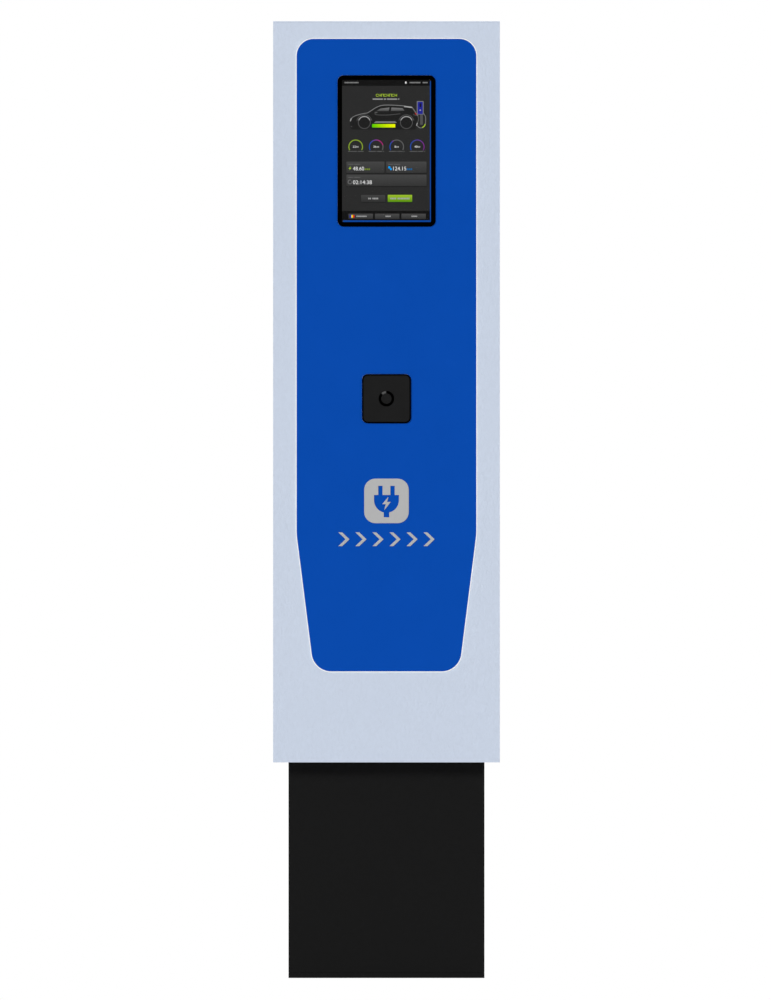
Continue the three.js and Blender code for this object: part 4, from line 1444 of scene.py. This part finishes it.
def add_charge_controller():
    """Two rows of plug-in connectors, two network ports, a label and a row of lamps."""
    controller = Device("charge_controller", shoulder=55, nose_height=60)
    strip_height = 8
    strip = rear_face(controller.x, controller.shoulder_y + strip_height, controller.z)
    for v in (-42, 42):
        for u in (-58, -19.5, 19.5, 58):
            bar_on(
                "connectors", controller.shoulder, u - 17, v - 7, u + 17, v + 7, strip_height, 0.8,
            )
            for i in range(6):
                controller.add_terminal(u + (i - 2.5) * 5.4, v, 1.7, strip)
    # Each network port is a metal frame round a dark bar: painted shade inside the opening.
    for u in (-64, -44):
        controller.draw(
            ("terminal_screws", u - 8, -10, u + 8, 6, 0.8, 0.6),
            ("device_seams", u - 6, -8, u + 6, 4, 0.95, 0.4),
        )
    controller.draw(
        ("device_labels", -24, -22, 46, 14, 0.3, 1.5),
        ("device_stripes", -24, -22, 46, -15, 0.45, 1.5),
    )
    for i in range(8):
        lamp = "pulse_lamps" if i == 5 else "device_lamps"
        add_disc(kit[lamp], -20 + i * 9, 22, 1.3, controller.nose, -0.1, 0.6)
    signals = ("white", "grey", "white", "black", "grey", "white", "blue", "white", "grey")
    controller.add_wires(signals, -1, radius=1.2)


# --- inside: ducts, wires, earth bar and what is on the door

DOOR_SKIN = 2.1  # the door's sheet, and a hair between it and what is on it


def add_duct(spot, start, end, half, back, front):
    """A slotted wiring duct from `start` to `end` along its run. `spot` turns a place along the run,
    one across it and a depth into a place in space."""
    wall = 1.4
    lip = 0.6  # of the cover, beyond the sides
    foot = 9  # the closed part of a side, at the back
    collar = 7  # and at the front
    overlap = 1
    finger = 5.6
    pitch = 9.4

    def add(run, across, depth):
        corners = [spot(*place) for place in zip(run, across, depth)]
        low = [min(pair) for pair in zip(*corners)]
        high = [max(pair) for pair in zip(*corners)]
        add_box(kit["wiring_ducts"], low, high)

    add((start, end), (-half, half), (back, back + wall))
    add((start, end), (-half - lip, half + lip), (front - wall, front))
    count = int((end - start) / pitch)
    spare = (end - start - (count - 1) * pitch - finger) / 2
    for sign in (-1, 1):
        across = (sign * (half - wall), sign * half)
        add((start, end), across, (back + wall / 2, back + foot))
        add((start, end), across, (front - collar, front - wall / 2))
        for i in range(count):
            left = start + spare + i * pitch
            depth = (back + foot - overlap, front - collar + overlap)
            add((left, left + finger), across, depth)


def add_ducts():
    """Three level ducts on the mounting plate, and an upright one on the front wall."""
    gap = 0.1
    sheet = 2
    level_end = 143
    level_depth = 46
    upright_half = 27
    upright_depth = 38
    back = box_mm("mounting_plate")[2].y + gap
    for z in DUCT_ROWS:
        add_duct(lambda run, across, depth: (run, depth, z + across),
                 -level_end, level_end, DUCT_HALF, back, back + level_depth)
    back = box_mm("cabinet_shell")[0].y + (sheet + gap)
    add_duct(lambda run, across, depth: (across, depth, run),
             470, 832, upright_half, back, back + upright_depth)


def add_supply_cable():
    """The supply cable, from the gland in the floor up into the upright duct."""
    add_cable(kit["supply_cable"], [
        (0, 0, 330), (0, 0, 366), (0, -16, 402), (0, -58, 430), (0, -91, 458), (0, -94, 500),
    ], 8.5, sides=20)


def add_earth_bar():
    """A bar on two posts, with a row of screws."""
    z = 810
    half_height = 6
    thickness = 5
    post_length = 12
    post = [(4, 0), (4, post_length)]
    screw = [(3, 0), (3, 1.4), (2.5, 1.8)]
    plate_face = box_mm("mounting_plate")[2].y
    bar_face = plate_face + (post_length + thickness)
    for x in (-122, -66):
        add_turned(kit["terminal_shade_and_posts"], post, Vector((x, plate_face, z)), BACK)
    low = (-130, bar_face - thickness, z - half_height)
    high = (-58, bar_face, z + half_height)
    add_box(kit["earth_bar"], low, high)
    for i in range(6):
        centre = Vector((-120 + i * 10.4, bar_face, z))
        add_turned(kit["terminal_screws"], screw, centre, BACK, steps=12)


def add_socket_tails():
    """Short wires from the back of each socket into the upright duct."""
    colours = ("brown", "black", "grey", "blue", "green", "white", "white")
    spread = 11  # of the wires round the socket's axis
    back = box_mm("socket_right_body")[0].x
    for _, out in SOCKETS:
        for i, colour in enumerate(colours):
            angle = 2 * math.pi * i / len(colours)
            y = spread * math.cos(angle)
            z = SOCKET_Z + spread * math.sin(angle)
            duct_z = 640 + 11 * i
            path = [
                (back + 2, y, z),
                (back - 9, y, z),
                (back - 26, y * 0.6 - 18, z * 0.6 + duct_z * 0.4),
                (46, -72, duct_z - 4),
                (34, -90, duct_z),
                (22, -96, duct_z),
            ]
            radius = 2.4 if i < 5 else 1.3
            add_cable(kit["wires_" + colour], [(out.x * x, *rest) for x, *rest in path], radius)


def add_stiffeners():
    """Two folded stiffeners on the inside of the door."""
    from_end = 12
    door_low, _, door_high = box_mm("rear_door")
    skin = door_high.y - DOOR_SKIN
    for x in (-70, 70):
        for left, right, back, front in (
            (-20, -10.5, 1.5, 0), (10.5, 20, 1.5, 0),
            (-12, -10.5, 10, 0), (10.5, 12, 10, 0), (-12, 12, 10, 8.5),
        ):
            low = (x + left, skin - back, door_low.z + from_end)
            high = (x + right, skin - front, door_high.z - from_end)
            add_box(kit["door_stiffener"], low, high)


def add_document_pocket():
    """A tray for papers, hung on the stiffeners."""
    half = 105
    wall = 2.2
    bottom = 820
    rim = 985
    tray_back = box_mm("rear_door")[2].y - DOOR_SKIN - 10.2
    tray_front = tray_back - 22
    for low, high in (
        ((-half, tray_back - wall, bottom), (half, tray_back, rim + 30)),
        ((-half, tray_front, bottom), (half, tray_front + wall, rim)),
        ((-half, tray_front, bottom), (half, tray_back, bottom + wall)),
        ((-half, tray_front, bottom), (wall - half, tray_back, rim)),
        ((half - wall, tray_front, bottom), (half, tray_back, rim)),
    ):
        add_box(kit["document_pocket"], low, high)


add_hinge_screws()
add_lock_inserts()
add_plinth_screws()
add_plate_borders()
add_seam("roof_seam", "cabinet_shell", inset=0.05, width=1.5)
add_seam("foot_seal", "base_plate", inset=0.4, width=2)
add_socket_details()
add_breakers()
add_surge_protector()
add_meters()
add_contactors()
add_power_supply()
add_charge_controller()
add_ducts()
add_supply_cable()
add_earth_bar()
add_socket_tails()
add_stiffeners()
add_document_pocket()
for name, (material, *placing) in KIT.items():
    finish_piece(name, kit[name], finishes[material], *placing)
